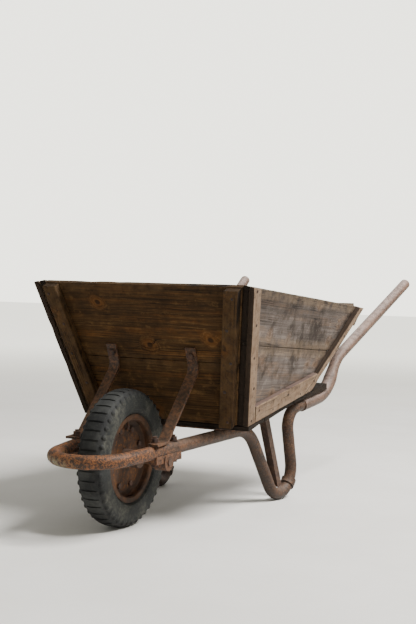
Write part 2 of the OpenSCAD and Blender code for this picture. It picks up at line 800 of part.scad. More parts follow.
// Line of one side of the frame, laid on the underside of the floor
floor_az = atan(tan(side_az) * cos(floor_rise));
bearer_start_t = (knee_reach - floor_start) / cos(floor_rise);

module bearer_line() {
  floor_plane() translate([track_half + floor_start * tan(side_az), 0, -floor_t])
    rotate([0, 0, -floor_az]) children();
}

module bearer() {
  start = bearer_start_t / cos(floor_az);
  stop = (floor_len + bearer_tail) / cos(floor_az);
  difference() {
    bearer_line() translate([-bearer_w / 2, start, -bearer_h])
      cube([bearer_w, stop - start, bearer_h - seat_gap]);
    bearer_bolt_places() translate([0, 0, -bearer_h - 1])
      cylinder(h = bearer_h + 2, d = floor_bolt_d + 2 * bolt_fit);
    // The handle starts to rise under the end of the bearer
    from_point(mouth, run_heading) translate([handle_run - first_tangent, 0, 0])
      bend(handle_steep - run_heading, handle_bend_r)
        circle(d = socket_d + 2 * (seat_gap + band_rise));
  }
}

module bearer_right() { color(floor_wood) place() bearer(); }
module bearer_left() { color(floor_wood) place() left() bearer(); }

floor_bolt_d = 8;
board_w = floor_len / floor_boards;

// Local origin on the underside of the floor, over the bearer
module bearer_bolt_places() {
  for (i = [1 : floor_boards - 1]) {
    t = (i + 0.5) * board_w;
    if (t > bearer_start_t + 20) bearer_line() translate([0, t / cos(floor_az), 0]) children();
  }
}

// Extent of the sides at the floor's top, over the battens
module floor_board(i) {
  half = side_outer_x;
  difference() {
    floor_plane() translate([-half, i * board_w, -floor_t])
      cube([2 * half, board_w - board_gap, floor_t - seat_gap]);
    both() bearer_bolt_places() translate([0, 0, -1])
      cylinder(h = floor_t + 2, d = floor_bolt_d + 2 * bolt_fit);
  }
}

module floor_board_1() { color(floor_wood) place() floor_board(0); }
module floor_board_2() { color(floor_wood) place() floor_board(1); }
module floor_board_3() { color(floor_wood) place() floor_board(2); }
module floor_board_4() { color(floor_wood) place() floor_board(3); }

module floor_bolts() {
  color(dark_rust) place() both() bearer_bolt_places() {
    translate([0, 0, floor_t]) cylinder(h = 3, d1 = 2.2 * floor_bolt_d, d2 = 1.4 * floor_bolt_d);
    translate([0, 0, -bearer_h - floor_bolt_d * nut_t - 3])
      cylinder(h = bearer_h + floor_t + floor_bolt_d * nut_t + 3, d = floor_bolt_d);
  }
}

module floor_nuts() {
  color(dark_rust) place() both() bearer_bolt_places()
    translate([0, 0, -bearer_h - seat_gap - floor_bolt_d * nut_t]) nut(floor_bolt_d);
}

// ---- leg braces ----

module leg_brace() {
  t_top = bearer_start_t + 70;
  top = [(floor_start + t_top * cos(floor_rise)) / cos(side_az),
    below_floor(floor_start + t_top * cos(floor_rise), floor_t + bearer_h) - seat_gap];
  low = foot_centre + (foot_r - tube_d / 2 - seat_gap) * heading(-115);
  side_plane() {
    difference() {
      translate([low[0], low[1], 0]) rotate([0, 0, angle_of(top - low)]) {
        translate([0, -brace_t / 2, -brace_w / 2]) cube([norm(top - low) + 40, brace_t, brace_w]);
        translate([0, -brace_w + brace_t / 2, brace_w / 2 - brace_t])
          cube([norm(top - low) + 40, brace_w, brace_t]);
      }
      translate([top[0], top[1], 0]) rotate([0, 0, run_heading])
        translate([-200, 0, -100]) cube([400, 200, 200]);
      translate([foot_centre[0], foot_centre[1], -50]) difference() {
        cylinder(h = 100, r = foot_r + 60);
        translate([0, 0, -1]) cylinder(h = 102, r = foot_r - tube_d / 2 - seat_gap);
        translate([-200, 40 - foot_r, -1]) cube([400, 400, 102]);
      }
    }
  }
}

module leg_brace_right() { color(rust) place() leg_brace(); }
module leg_brace_left() { color(rust) place() left() leg_brace(); }

// ---- tray front ----

front_len = (rim_front_z - floor_z) / cos(front_lean);

module front_board(from, to) {
  intersection() {
    front_plane() translate([-reach / 2, from, -board_t]) cube([reach, to - from, board_t]);
    between_sides(seat_gap);
    above_floor();
    front_bolt_holes();
  }
}

module front_bolt_holes() {
  difference() {
    translate([-reach / 2, -reach / 2, 0]) cube([reach, reach, reach]);
    both() front_plane() translate([stay_x, stay_bolt, -2 * board_t])
      cylinder(h = 4 * board_t, d = stay_bolt_d + 2 * bolt_fit);
  }
}

module front_board_upper() {
  color(front_wood) place() front_board(front_lower_h + board_gap, front_len);
}
module front_board_lower() { color(front_wood) place() front_board(-50, front_lower_h); }

// The battens follow the slanting edges of the front
module front_batten() {
  edge_lean = atan(tan(side_lean) * cos(front_lean));
  foot = side_outer_x - side_inner_off / cos(side_lean) - front_batten_inset;
  intersection() {
    front_plane() translate([foot, 0, seat_gap]) rotate([0, 0, -edge_lean])
      translate([-front_batten_w, -60, 0])
        cube([front_batten_w, front_len + 120, front_batten_t]);
    front_plane() translate([-reach / 2, 2, -reach / 2]) cube([reach, front_len - 4, reach]);
  }
}

module front_batten_right() { color(front_wood) place() front_batten(); }
module front_batten_left() { color(front_wood) place() left() front_batten(); }

// ---- tray sides ----

cos_side = cos(side_lean);
function side_v(z) = (z - floor_z) / cos_side;
function rim_v(y) = side_v(rim_front_z - (y - rim_front_y) * rim_fall);
function front_y_at(v, off) =
  floor_start - v * cos_side * tan(front_lean) - off / cos(front_lean);
function tail_y_at(v, off) =
  floor_end + (v * cos_side - (floor_end_z - floor_z)) * tail_rise + off / cos(tail_lean);
floor_v0 = side_v(floor_top(floor_start));
floor_v1 = side_v(floor_end_z);

// Where the front, set forward by off, meets the rim, as [y, v]
function front_corner(off) =
  let (k = cos_side * tan(front_lean), y0 = front_y_at(0, off),
       r0 = rim_v(0), s = -rim_fall / cos_side, v = (r0 + s * y0) / (1 + s * k))
  [y0 - k * v, v];
function tail_corner(off) =
  let (k = cos_side * tail_rise, y0 = tail_y_at(0, off),
       r0 = rim_v(0), s = -rim_fall / cos_side, v = (r0 + s * y0) / (1 - s * k))
  [y0 + k * v, v];
low_v = -60;

// The whole side, between the front and tail lines, as a flat outline
module side_outline(front_off, tail_off) {
  polygon([[front_y_at(low_v, front_off), low_v], [tail_y_at(low_v, tail_off), low_v],
    tail_corner(tail_off), front_corner(front_off)]);
}

// A strip of the side parallel to the rim, from one depth below it to another
module below_rim(from, to) {
  slope = atan(rim_fall / cos_side);
  translate([rim_front_y, rim_v(rim_front_y)]) rotate([0, 0, -slope])
    translate([-reach / 2, -to]) square([reach, to - from]);
}

module side_board(from, to) {
  intersection() {
    side_face() translate([0, 0, -side_inner_off])
      linear_extrude(height = board_t - seat_gap) intersection() {
        side_outline(0, 0);
        below_rim(from, to);
      }
    above_floor();
  }
}

module side_board_upper_right() { color(side_wood) place() side_board(-1, side_upper_h); }
module side_board_upper_left() { color(side_wood) place() left() side_board(-1, side_upper_h); }
module side_board_lower_right() {
  color(side_wood) place() side_board(side_upper_h + board_gap, reach);
}
module side_board_lower_left() {
  color(side_wood) place() left() side_board(side_upper_h + board_gap, reach);
}

module side_batten() {
  intersection() {
    side_face() translate([0, 0, -side_batten_t]) linear_extrude(height = side_batten_t)
      children();
    above_floor();
  }
}

module front_side_batten() {
  side_batten() polygon([[front_y_at(low_v, corner_stand), low_v],
    [front_y_at(low_v, -side_batten_w), low_v],
    front_corner(-side_batten_w), front_corner(corner_stand)]);
}

module bottom_side_batten() {
  floor_slope = atan(tan(floor_rise) / cos_side);
  side_batten() intersection() {
    side_outline(-side_batten_w - board_gap, -rear_batten_w - board_gap);
    translate([floor_start, 0]) rotate([0, 0, floor_slope]) translate([-reach / 2, -60])
      square([reach, bottom_batten_h + 60]);
  }
}

module rear_side_batten() {
  side_batten() polygon([[tail_y_at(low_v, -rear_batten_w), low_v],
    [tail_y_at(low_v, 0), low_v], tail_corner(0), tail_corner(-rear_batten_w)]);
}

module front_side_batten_right() { color(batten_wood) place() front_side_batten(); }
module front_side_batten_left() { color(batten_wood) place() left() front_side_batten(); }
module bottom_side_batten_right() { color(batten_wood) place() bottom_side_batten(); }
module bottom_side_batten_left() { color(batten_wood) place() left() bottom_side_batten(); }
module rear_side_batten_right() { color(batten_wood) place() rear_side_batten(); }
module rear_side_batten_left() { color(batten_wood) place() left() rear_side_batten(); }

// ---- tray tail ----

tail_len = (rim_tail_z - floor_end_z) / cos(tail_lean);

module tail_board(from, to) {
  intersection() {
    tail_plane() translate([-reach / 2, from, 0]) cube([reach, to - from, board_t]);
    between_sides(seat_gap);
    above_floor();
  }
}

module tail_board_lower() { color(side_wood) place() tail_board(-60, tail_lower_h); }
module tail_board_upper() {
  color(side_wood) place() tail_board(tail_lower_h + board_gap, tail_len + 4);
}

module tail_rail() {
  half = side_outer_x + (rim_tail_z - floor_z) * tan(side_lean) - side_batten_t;
  color(side_wood) place() tail_plane()
    translate([-half, tail_len - tail_rail_w, -tail_rail_t - seat_gap])
      cube([2 * half, tail_rail_w, tail_rail_t]);
}

tyre();
inner_tube();
valve_stem();
rim_half_right();
rim_half_left();
wheel_hub();
rim_bolts();
rim_nuts();
axle();
axle_collars();
bearing_block_right();
bearing_block_left();
bearing_bolts();
bearing_nuts();
bearing_washers();
front_frame_tube();
rear_leg_tube_right();
rear_leg_tube_left();
handle_tube_right();
handle_tube_left();
leg_brace_right();
leg_brace_left();
stay_right();
stay_left();
stay_bolts();
stay_nuts();
front_strap();
bearer_right();
bearer_left();
floor_board_1();
floor_board_2();
floor_board_3();
floor_board_4();
floor_bolts();
floor_nuts();
front_board_upper();
front_board_lower();
front_batten_right();
front_batten_left();
side_board_upper_right();
side_board_upper_left();
side_board_lower_right();
side_board_lower_left();
front_side_batten_right();
front_side_batten_left();
bottom_side_batten_right();
bottom_side_batten_left();
rear_side_batten_right();
rear_side_batten_left();
tail_board_upper();
tail_board_lower();
tail_rail();
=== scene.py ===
"""An old wheelbarrow: a nailed timber tray on a rusty tube frame, with one rubber-tyred wheel."""

import logging
import math
from dataclasses import dataclass, field, replace
from enum import Enum
from typing import Any, Dict, List, Optional, Sequence, Tuple

import bmesh
import bpy
import numpy as np
from mathutils import Matrix, Vector, noise


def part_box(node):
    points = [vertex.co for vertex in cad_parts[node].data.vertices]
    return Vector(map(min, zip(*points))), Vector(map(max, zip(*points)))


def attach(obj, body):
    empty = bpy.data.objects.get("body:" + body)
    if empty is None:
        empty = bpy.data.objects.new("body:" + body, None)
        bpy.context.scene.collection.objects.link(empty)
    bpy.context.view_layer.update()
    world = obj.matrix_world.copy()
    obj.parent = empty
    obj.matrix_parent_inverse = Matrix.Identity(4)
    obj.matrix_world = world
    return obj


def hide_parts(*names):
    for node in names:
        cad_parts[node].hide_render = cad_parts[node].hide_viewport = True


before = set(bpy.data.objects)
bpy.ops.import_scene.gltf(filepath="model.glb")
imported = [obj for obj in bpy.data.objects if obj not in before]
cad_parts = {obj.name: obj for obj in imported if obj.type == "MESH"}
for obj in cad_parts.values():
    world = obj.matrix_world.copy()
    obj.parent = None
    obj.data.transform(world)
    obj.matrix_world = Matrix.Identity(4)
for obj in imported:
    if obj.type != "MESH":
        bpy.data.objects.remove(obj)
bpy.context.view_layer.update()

Tone = Tuple[float, float, float, float]
Zone = Tuple[float, float]
Triple = Tuple[float, float, float]
log = logging.getLogger("wheelbarrow")
HANDS = ("right", "left")
AXLE_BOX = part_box("axle")
AXLE = (AXLE_BOX[0] + AXLE_BOX[1]) / 2
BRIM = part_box("side_board_upper_right")[1].z

# Where a soft step over the barrow starts and ends, in metres along one axis.
LOOP_ZONE: Zone = (-0.52, -0.72)
LEG_ZONE: Zone = (-0.4, -0.25)
FOOT_ZONE: Zone = (0.2, 0.08)
LICHEN_SIDE: Zone = (0.03, -0.06)
LICHEN_FRONT: Zone = (-0.7, -0.8)
STAIN_ZONE: Zone = (BRIM - 0.12, BRIM - 0.01)


def tone(red: int, green: int, blue: int) -> Tone:
    """A paint-chart colour.

    Args:
        red: Red from 0 to 255.
        green: Green from 0 to 255.
        blue: Blue from 0 to 255.

    Returns:
        The colour as linear red, green, blue and alpha.
    """
    def straight(part: int) -> float:
        """One part of the colour without the display curve."""
        share = part / 255
        return share / 12.92 if share <= 0.04045 else ((share + 0.055) / 1.055) ** 2.4
    return (straight(red), straight(green), straight(blue), 1.0)


class Body(Enum):
    """The two bodies of the barrow."""

    FRAME = "frame"
    WHEEL = "wheel"


class Field:
    """A value that varies over a surface: one node socket that can stand in a sum."""

    def __init__(self, tree: "NodeTree", socket: Any) -> None:
        """Keeps the tree and the socket."""
        self.tree = tree
        self.socket = socket

    def math(self, operation: str, first: Any, second: Any = 0.0) -> "Field":
        """One Math node.

        Args:
            operation: The node's operation.
            first: A number or a field.
            second: A number or a field.

        Returns:
            The node's result.
        """
        return self.tree.add("ShaderNodeMath", {"operation": operation}, {0: first, 1: second})

    def __add__(self, other: Any) -> "Field":
        """The sum."""
        return self.math("ADD", self, other)

    def __radd__(self, other: Any) -> "Field":
        """The sum, the other way round."""
        return self.math("ADD", other, self)

    def __sub__(self, other: Any) -> "Field":
        """The difference."""
        return self.math("SUBTRACT", self, other)

    def __rsub__(self, other: Any) -> "Field":
        """The difference, the other way round."""
        return self.math("SUBTRACT", other, self)

    def __mul__(self, other: Any) -> "Field":
        """The product."""
        return self.math("MULTIPLY", self, other)

    def __rmul__(self, other: Any) -> "Field":
        """The product, the other way round."""
        return self.math("MULTIPLY", other, self)

    def __pow__(self, other: Any) -> "Field":
        """The power."""
        return self.math("POWER", self, other)

    def __abs__(self) -> "Field":
        """The size without its sign."""
        return self.math("ABSOLUTE", self)

    def fraction(self) -> "Field":
        """What is left over a whole number."""
        return self.math("FRACT", self)

    def angle(self, other: "Field") -> "Field":
        """The angle of the vector (other, self)."""
        return self.math("ARCTAN2", self, other)

    def rise(self, low: float, high: float) -> "Field":
        """A soft step from 0 to 1.

        Args:
            low: Where the step starts.
            high: Where the step ends; below low, the step goes down.

        Returns:
            The step's height over the surface.
        """
        ends = (0.0, 1.0) if low < high else (1.0, 0.0)
        return self.tree.add(
            "ShaderNodeMapRange", {"interpolation_type": "SMOOTHSTEP"},
            {"Value": self, "From Min": min(low, high), "From Max": max(low, high),
             "To Min": ends[0], "To Max": ends[1]})


class NodeTree:
    """A node tree that is built one node at a time."""

    def __init__(self, tree: bpy.types.NodeTree) -> None:
        """Keeps the tree and empties it."""
        self.tree = tree
        tree.nodes.clear()

    def add(self, kind: str, settings: Optional[Dict[str, Any]] = None,
            sockets: Optional[Dict[Any, Any]] = None, output: Any = 0) -> Field:
        """Adds one node.

        Args:
            kind: The node's type.
            settings: Its settings, which are set first.
            sockets: Values or fields for its inputs, by name or number; a list of fields joins them.
            output: The output that is wanted, by name or number.

        Returns:
            The wanted output; a node with no output gives an empty field.
        """
        node = self.tree.nodes.new(kind)
        for key, value in (settings or {}).items():
            setattr(node, key, value)
        for key, value in (sockets or {}).items():
            if isinstance(value, (Field, list)):
                for one in value if isinstance(value, list) else [value]:
                    self.tree.links.new(one.socket, node.inputs[key])
            else:
                node.inputs[key].default_value = value
        return Field(self, node.outputs[output] if len(node.outputs) else None)


class Graph(NodeTree):
    """The tree of one material."""

    def __init__(self, name: str) -> None:
        """Starts an empty material."""
        self.material = bpy.data.materials.new(name)
        self.material.use_nodes = True
        super().__init__(self.material.node_tree)

    def place(self) -> Field:
        """Where a point is on the barrow, in metres."""
        return self.add("ShaderNodeTexCoord", output="Object")

    def facing(self) -> Field:
        """Which way the surface faces."""
        return self.add("ShaderNodeTexCoord", output="Normal")

    def about_axle(self, place: Field) -> Tuple[Field, Field]:
        """Where a point lies round the axle.

        Args:
            place: The point.

        Returns:
            Its distance from the axle in metres, and its angle round it.
        """
        across = self.axis(place, "Y") - AXLE.y
        along = self.axis(place, "Z") - AXLE.z
        return (across ** 2.0 + along ** 2.0) ** 0.5, along.angle(across)

    def axis(self, vector: Field, letter: str) -> Field:
        """One part of a vector."""
        return self.add("ShaderNodeSeparateXYZ", {}, {0: vector}, letter)

    def attribute(self, name: str, output: str) -> Field:
        """A piece's own attribute, as a Vector or a Fac."""
        return self.add("ShaderNodeAttribute", {"attribute_name": name}, {}, output)

    def mapped(self, vector: Field, scale: Sequence[float]) -> Field:
        """A vector with each part stretched on its own."""
        return self.add("ShaderNodeMapping", {}, {"Vector": vector, "Scale": scale})

    def clouds(self, vector: Field, scale: float, detail: float = 5.0, rough: float = 0.55,
               output: str = "Fac") -> Field:
        """Noise.

        Args:
            vector: Where it is read.
            scale: Its fineness, in cells per metre.
            detail: How many octaves.
            rough: How strong the fine octaves are.
            output: Fac or Color.

        Returns:
            The noise, about 0.5.
        """
        return self.add("ShaderNodeTexNoise", {}, {
            "Vector": vector, "Scale": scale, "Detail": detail, "Roughness": rough}, output)

    def cells(self, vector: Field, scale: float, flat: bool = False) -> Field:
        """How far a point is from the middle of its cell.

        Args:
            vector: Where it is read.
            scale: How many cells a metre holds.
            flat: Whether the cells lie in the vector's first two parts only.

        Returns:
            The distance, in cells.
        """
        return self.add("ShaderNodeTexVoronoi", {"voronoi_dimensions": "2D" if flat else "3D"},
                        {"Vector": vector, "Scale": scale}, "Distance")

    def warped(self, vector: Field, scale: float, amount: Sequence[float]) -> Field:
        """A vector pushed about by noise.

        Args:
            vector: The vector.
            scale: The noise's fineness.
            amount: How far each part may be pushed.

        Returns:
            The pushed vector.
        """
        push = self.clouds(vector, scale, 3.0, 0.5, "Color")
        middle = (0.5, 0.5, 0.5)
        centred = self.add("ShaderNodeVectorMath", {"operation": "SUBTRACT"}, {0: push, 1: middle})
        return self.add("ShaderNodeVectorMath", {"operation": "MULTIPLY_ADD"},
                        {0: centred, 1: amount, 2: vector})

    def vector(self, x: Any, y: Any, z: Any) -> Field:
        """A vector from its three parts."""
        return self.add("ShaderNodeCombineXYZ", {}, {0: x, 1: y, 2: z})

    def blend(self, share: Any, under: Any, over: Any) -> Field:
        """One colour over another.

        Args:
            share: How much of the upper colour shows.
            under: The lower colour.
            over: The upper colour.

        Returns:
            The mixed colour.
        """
        return self.add("ShaderNodeMix", {"data_type": "RGBA"}, {0: share, 6: under, 7: over}, 2)

    def layers(self, colour: Any, *coats: Tuple[Any, Any]) -> Field:
        """Several colours over another, one after the other.

        Args:
            colour: The lowest colour.
            coats: For each coat, how much of it shows and its colour.

        Returns:
            The mixed colour.
        """
        for share, coat in coats:
            colour = self.blend(share, colour, coat)
        return colour

    def finished(self, colour: Any, roughness: Any, height: Field, depth: float, sheen: float,
                 others: Optional[Dict[str, Any]] = None) -> bpy.types.Material:
        """Closes the material.

        Args:
            colour: The base colour.
            roughness: The roughness.
            height: The relief, from about 0 to 1.
            depth: How deep a relief of 1 is, in metres.
            sheen: How strongly the surface shines, where 0.5 is common.
            others: The shader's other inputs, by name.

        Returns:
            The material.
        """
        relief = {"Strength": 1.0, "Distance": depth, "Height": height}
        normal = self.add("ShaderNodeBump", {}, relief, "Normal")
        sockets = {"Base Color": colour, "Roughness": roughness, "Specular IOR Level": sheen,
                   "Normal": normal, **(others or {})}
        shader = self.add("ShaderNodeBsdfPrincipled", {}, sockets)
        self.add("ShaderNodeOutputMaterial", {}, {"Surface": shader})
        return self.material


@dataclass(frozen=True)
class RustFinish:
    """Bare iron that has stood in the open for years.

    Each share says how much of its layer shows. The patches and pits are counted in cells per metre,
    and the relief's depth is in metres. Weather belongs to the front loop. Dust on faces that look up
    also paints a highlight there; under paints shade on faces that look down, and the front legs get
    painted shade low down, where the tray shades them.
    """

    name: str
    dark: Tone
    brown: Tone
    bright: Tone
    dust: Tone
    bright_share: float = 0.7
    top_dust_and_highlight_share: float = 0.35
    patch: float = 16.0
    pits: float = 190.0
    pit_share: float = 0.5
    depth: float = 0.0012
    polish: float = 0.6
    under: float = 0.45
    painted_leg_shade: float = 0.0
    weather: float = 0.0
    lichen: Optional[Tone] = None
    blush: Tone = tone(140, 84, 40)
    sheen: float = 0.35

    def material(self) -> bpy.types.Material:
        """The rust as a material."""
        g = Graph(self.name)
        place = g.place()
        up = g.axis(g.facing(), "Z")
        loose = g.warped(place, 30.0, (0.02, 0.02, 0.02))
        broad = g.clouds(loose, self.patch, 6.0, 0.62)
        fine = g.clouds(loose, 120.0, 8.0, 0.72)
        grit = g.clouds(place, 300.0, 4.0, 0.7)
        pit = g.cells(g.warped(place, 160.0, (0.004, 0.004, 0.004)), self.pits).rise(0.42, 0.12)
        pit = pit * g.clouds(place, 38.0, 4.0, 0.6).rise(0.42, 0.6)
        flakes = (fine * 0.85 + broad * 0.3).rise(0.55, 0.7)
        # Dust on faces that look up; it also paints a highlight on those tops.
        dust_and_highlight = up.rise(0.0, 0.95) * (0.25 + g.clouds(place, 60.0, 7.0, 0.7).rise(0.3, 0.7) * 0.75)
        front = g.axis(place, "Y").rise(*LOOP_ZONE) * self.weather
        # Painted shade on the front legs low down, where the tray shades them.
        leg_shade = g.axis(place, "Z").rise(*FOOT_ZONE) * g.axis(place, "Y").rise(*LEG_ZONE) * self.painted_leg_shade
        colour = g.layers(
            self.dark,
            ((broad * 0.4 + fine * 0.6).rise(0.36, 0.58), self.brown),
            (flakes * self.bright_share, self.bright),
            (grit.rise(0.5, 0.75) * 0.3, self.dust),
            (grit.rise(0.5, 0.28) * 0.45, self.dark),
            (dust_and_highlight * self.top_dust_and_highlight_share * (1.0 - front * 0.8), self.dust),
            # Painted shade: faces that look down are darkened.
            (up.rise(0.35, -0.75) * self.under, self.dark),
            (leg_shade * (0.6 + broad * 0.7), self.dark))
        if self.lichen is not None:
            blush = (fine * 0.5 + grit * 0.5).rise(0.47, 0.56) * front
            growth = g.clouds(loose, 60.0, 6.0, 0.7).rise(0.42, 0.56) * up.rise(0.75, -0.35)
            growth = growth * g.axis(place, "X").rise(*LICHEN_SIDE) * g.axis(place, "Y").rise(*LICHEN_FRONT)
            colour = g.layers(
                colour,
                (front * (0.25 + broad * 0.35), self.dark),
                (blush * 0.65, self.blush),
                (growth * 0.8, self.lichen))
            pit = pit * (1.0 + front * 0.3)
        colour = g.blend(pit * self.pit_share, colour, self.dark)
        rough = self.polish + fine * 0.25 + dust_and_highlight * 0.08
        height = fine * 0.55 + grit * 0.12 + broad * 0.3 - pit * 0.55
        return g.finished(colour, rough, height, self.depth, self.sheen)


@dataclass(frozen=True)
class RimFinish:
    """The pressed wheel discs: orange rust on the dish, and painted shade in the channel round it."""

    name: str
    dark: Tone
    brown: Tone
    bright: Tone
    dish_radius: float
    depth: float = 0.0009
    sheen: float = 0.35

    def material(self) -> bpy.types.Material:
        """The rim's rust as a material."""
        g = Graph(self.name)
        place = g.place()
        out, turn = g.about_axle(place)
        loose = g.warped(place, 40.0, (0.015, 0.015, 0.015))
        broad = g.clouds(loose, 24.0, 6.0, 0.6)
        fine = g.clouds(loose, 110.0, 8.0, 0.7)
        grit = g.clouds(place, 600.0, 3.0, 0.6)
        runs = g.clouds(g.vector(turn * 7.0, out * 9.0, 0.0), 1.0, 5.0, 0.6)
        edge = self.dish_radius
        dish = out.rise(edge + 0.006, edge - 0.004)
        # Painted shade in the channel round the dish.
        channel = out.rise(edge - 0.002, edge + 0.004) * out.rise(edge + 0.016, edge + 0.01)
        colour = g.layers(
            self.dark,
            (broad.rise(0.3, 0.68), self.brown),
            ((fine * 0.85 + runs * 0.2).rise(0.5, 0.68) * (0.12 + dish * 0.5), self.bright),
            (grit.rise(0.45, 0.8) * 0.35, self.dark),
            (channel * 0.6, self.dark))
        height = fine * 0.5 + grit * 0.15
        return g.finished(colour, 0.66 + fine * 0.25, height, self.depth, self.sheen)


@dataclass(frozen=True)
class RubberFinish:
    """Old tyre rubber: black lugs, fine cuts across them, and pale dust on the walls. The grooves and
    the cuts are darkened with painted shade.
    """

    name: str
    black: Tone
    worn: Tone
    dust: Tone
    wall: Tone
    lugs: int
    wall_radius: float
    tread_radius: float
    depth: float = 0.0012
    sheen: float = 0.3

    def material(self) -> bpy.types.Material:
        """The rubber as a material."""
        g = Graph(self.name)
        place = g.place()
        side = g.axis(place, "X")
        out, turn = g.about_axle(place)
        broad = g.clouds(place, 14.0, 6.0, 0.6)
        fine = g.clouds(place, 120.0, 6.0, 0.65)
        grit = g.clouds(place, 650.0, 3.0, 0.6)
        tread = out.rise(self.wall_radius - 0.004, self.wall_radius + 0.006)
        beside = 1.0 - tread
        # Painted shade in the grooves of the tread.
        grooves = out.rise(self.tread_radius - 0.003, self.tread_radius - 0.009) * tread
        skew = abs(side) * 9.0
        # Fine cuts across the lugs, sunk in the relief and darkened with painted shade.
        cut = abs((turn * (self.lugs / math.tau) + skew + 0.5).fraction() - 0.5).rise(0.075, 0.03)
        cut = cut * out.rise(self.tread_radius - 0.006, self.tread_radius - 0.003)
        cut = cut * abs(side).rise(0.02, 0.023)
        crazed = g.clouds(g.vector(turn * 26.0, out * 60.0, side * 60.0), 1.0, 4.0, 0.6)
        cracks = abs(crazed - 0.5).rise(0.03, 0.006)
        rings = abs((out * 190.0).fraction() - 0.5).rise(0.3, 0.44)
        wall = g.layers(
            self.wall,
            ((fine * 0.45 + broad * 0.55).rise(0.44, 0.66) * 0.75, self.dust),
            (cracks * 0.2, self.black))
        colour = g.layers(
            self.black,
            (broad.rise(0.35, 0.65), self.worn),
            (grooves * 0.75, self.black),
            (fine.rise(0.5, 0.75) * tread * 0.22, self.dust),
            (beside * 0.9, wall),
            (cut * 0.6, self.black))
        height = fine * 0.2 + grit * 0.12 + rings * 0.16 * beside - cut * 0.5 - cracks * 0.1 * beside
        return g.finished(colour, 0.6 + fine * 0.3, height, self.depth, self.sheen)


class Grain:
    """How the fibres run in a board, bent round its knots."""

    def __init__(self, graph: Graph, knots: float) -> None:
        """Reads the board's own grain.

        Args:
            graph: The material's tree.
            knots: How strong the knots are, from 0 to 1.
        """
        self.graph = graph
        self.straight = graph.attribute("grain", "Vector")
        bent = graph.warped(graph.mapped(self.straight, (1.6, 5.0, 5.0)), 1.0, (0.25, 0.11, 0.11))
        eyes = graph.cells(graph.mapped(bent, (2.6, 0.95, 1.0)), 1.35, flat=True)
        self.knot = eyes.rise(0.06, 0.03) * knots
        self.halo = eyes.rise(0.19, 0.04) * knots
        self.along = graph.axis(bent, "X")
        self.across = graph.axis(bent, "Y") + self.halo * 0.07
        self.deep = graph.axis(bent, "Z") + self.halo * 0.05

    def streaks(self, long: float, short: float, detail: float, rough: float) -> Field:
        """Noise drawn out along the fibres.

        Args:
            long: Its fineness along the fibres.
            short: Its fineness across them.
            detail: How many octaves.
            rough: How strong the fine octaves are.

        Returns:
            The noise, about 0.5.
        """
        spot = self.graph.vector(self.along * long, self.across * short, self.deep * short)
        return self.graph.clouds(spot, 1.0, detail, rough)

    def cracks(self) -> Field:
        """Fine splits that open here and there along the fibres."""
        spot = self.graph.vector(self.along * 0.8, self.across * 17.0, 3.1)
        split = abs(self.graph.clouds(spot, 1.0, 2.0, 0.5) - 0.5)
        opened = self.graph.clouds(self.graph.mapped(self.straight, (5.0, 9.0, 9.0)), 1.0, 3.0, 0.5)
        return split.rise(0.012, 0.002) * opened.rise(0.5, 0.58)


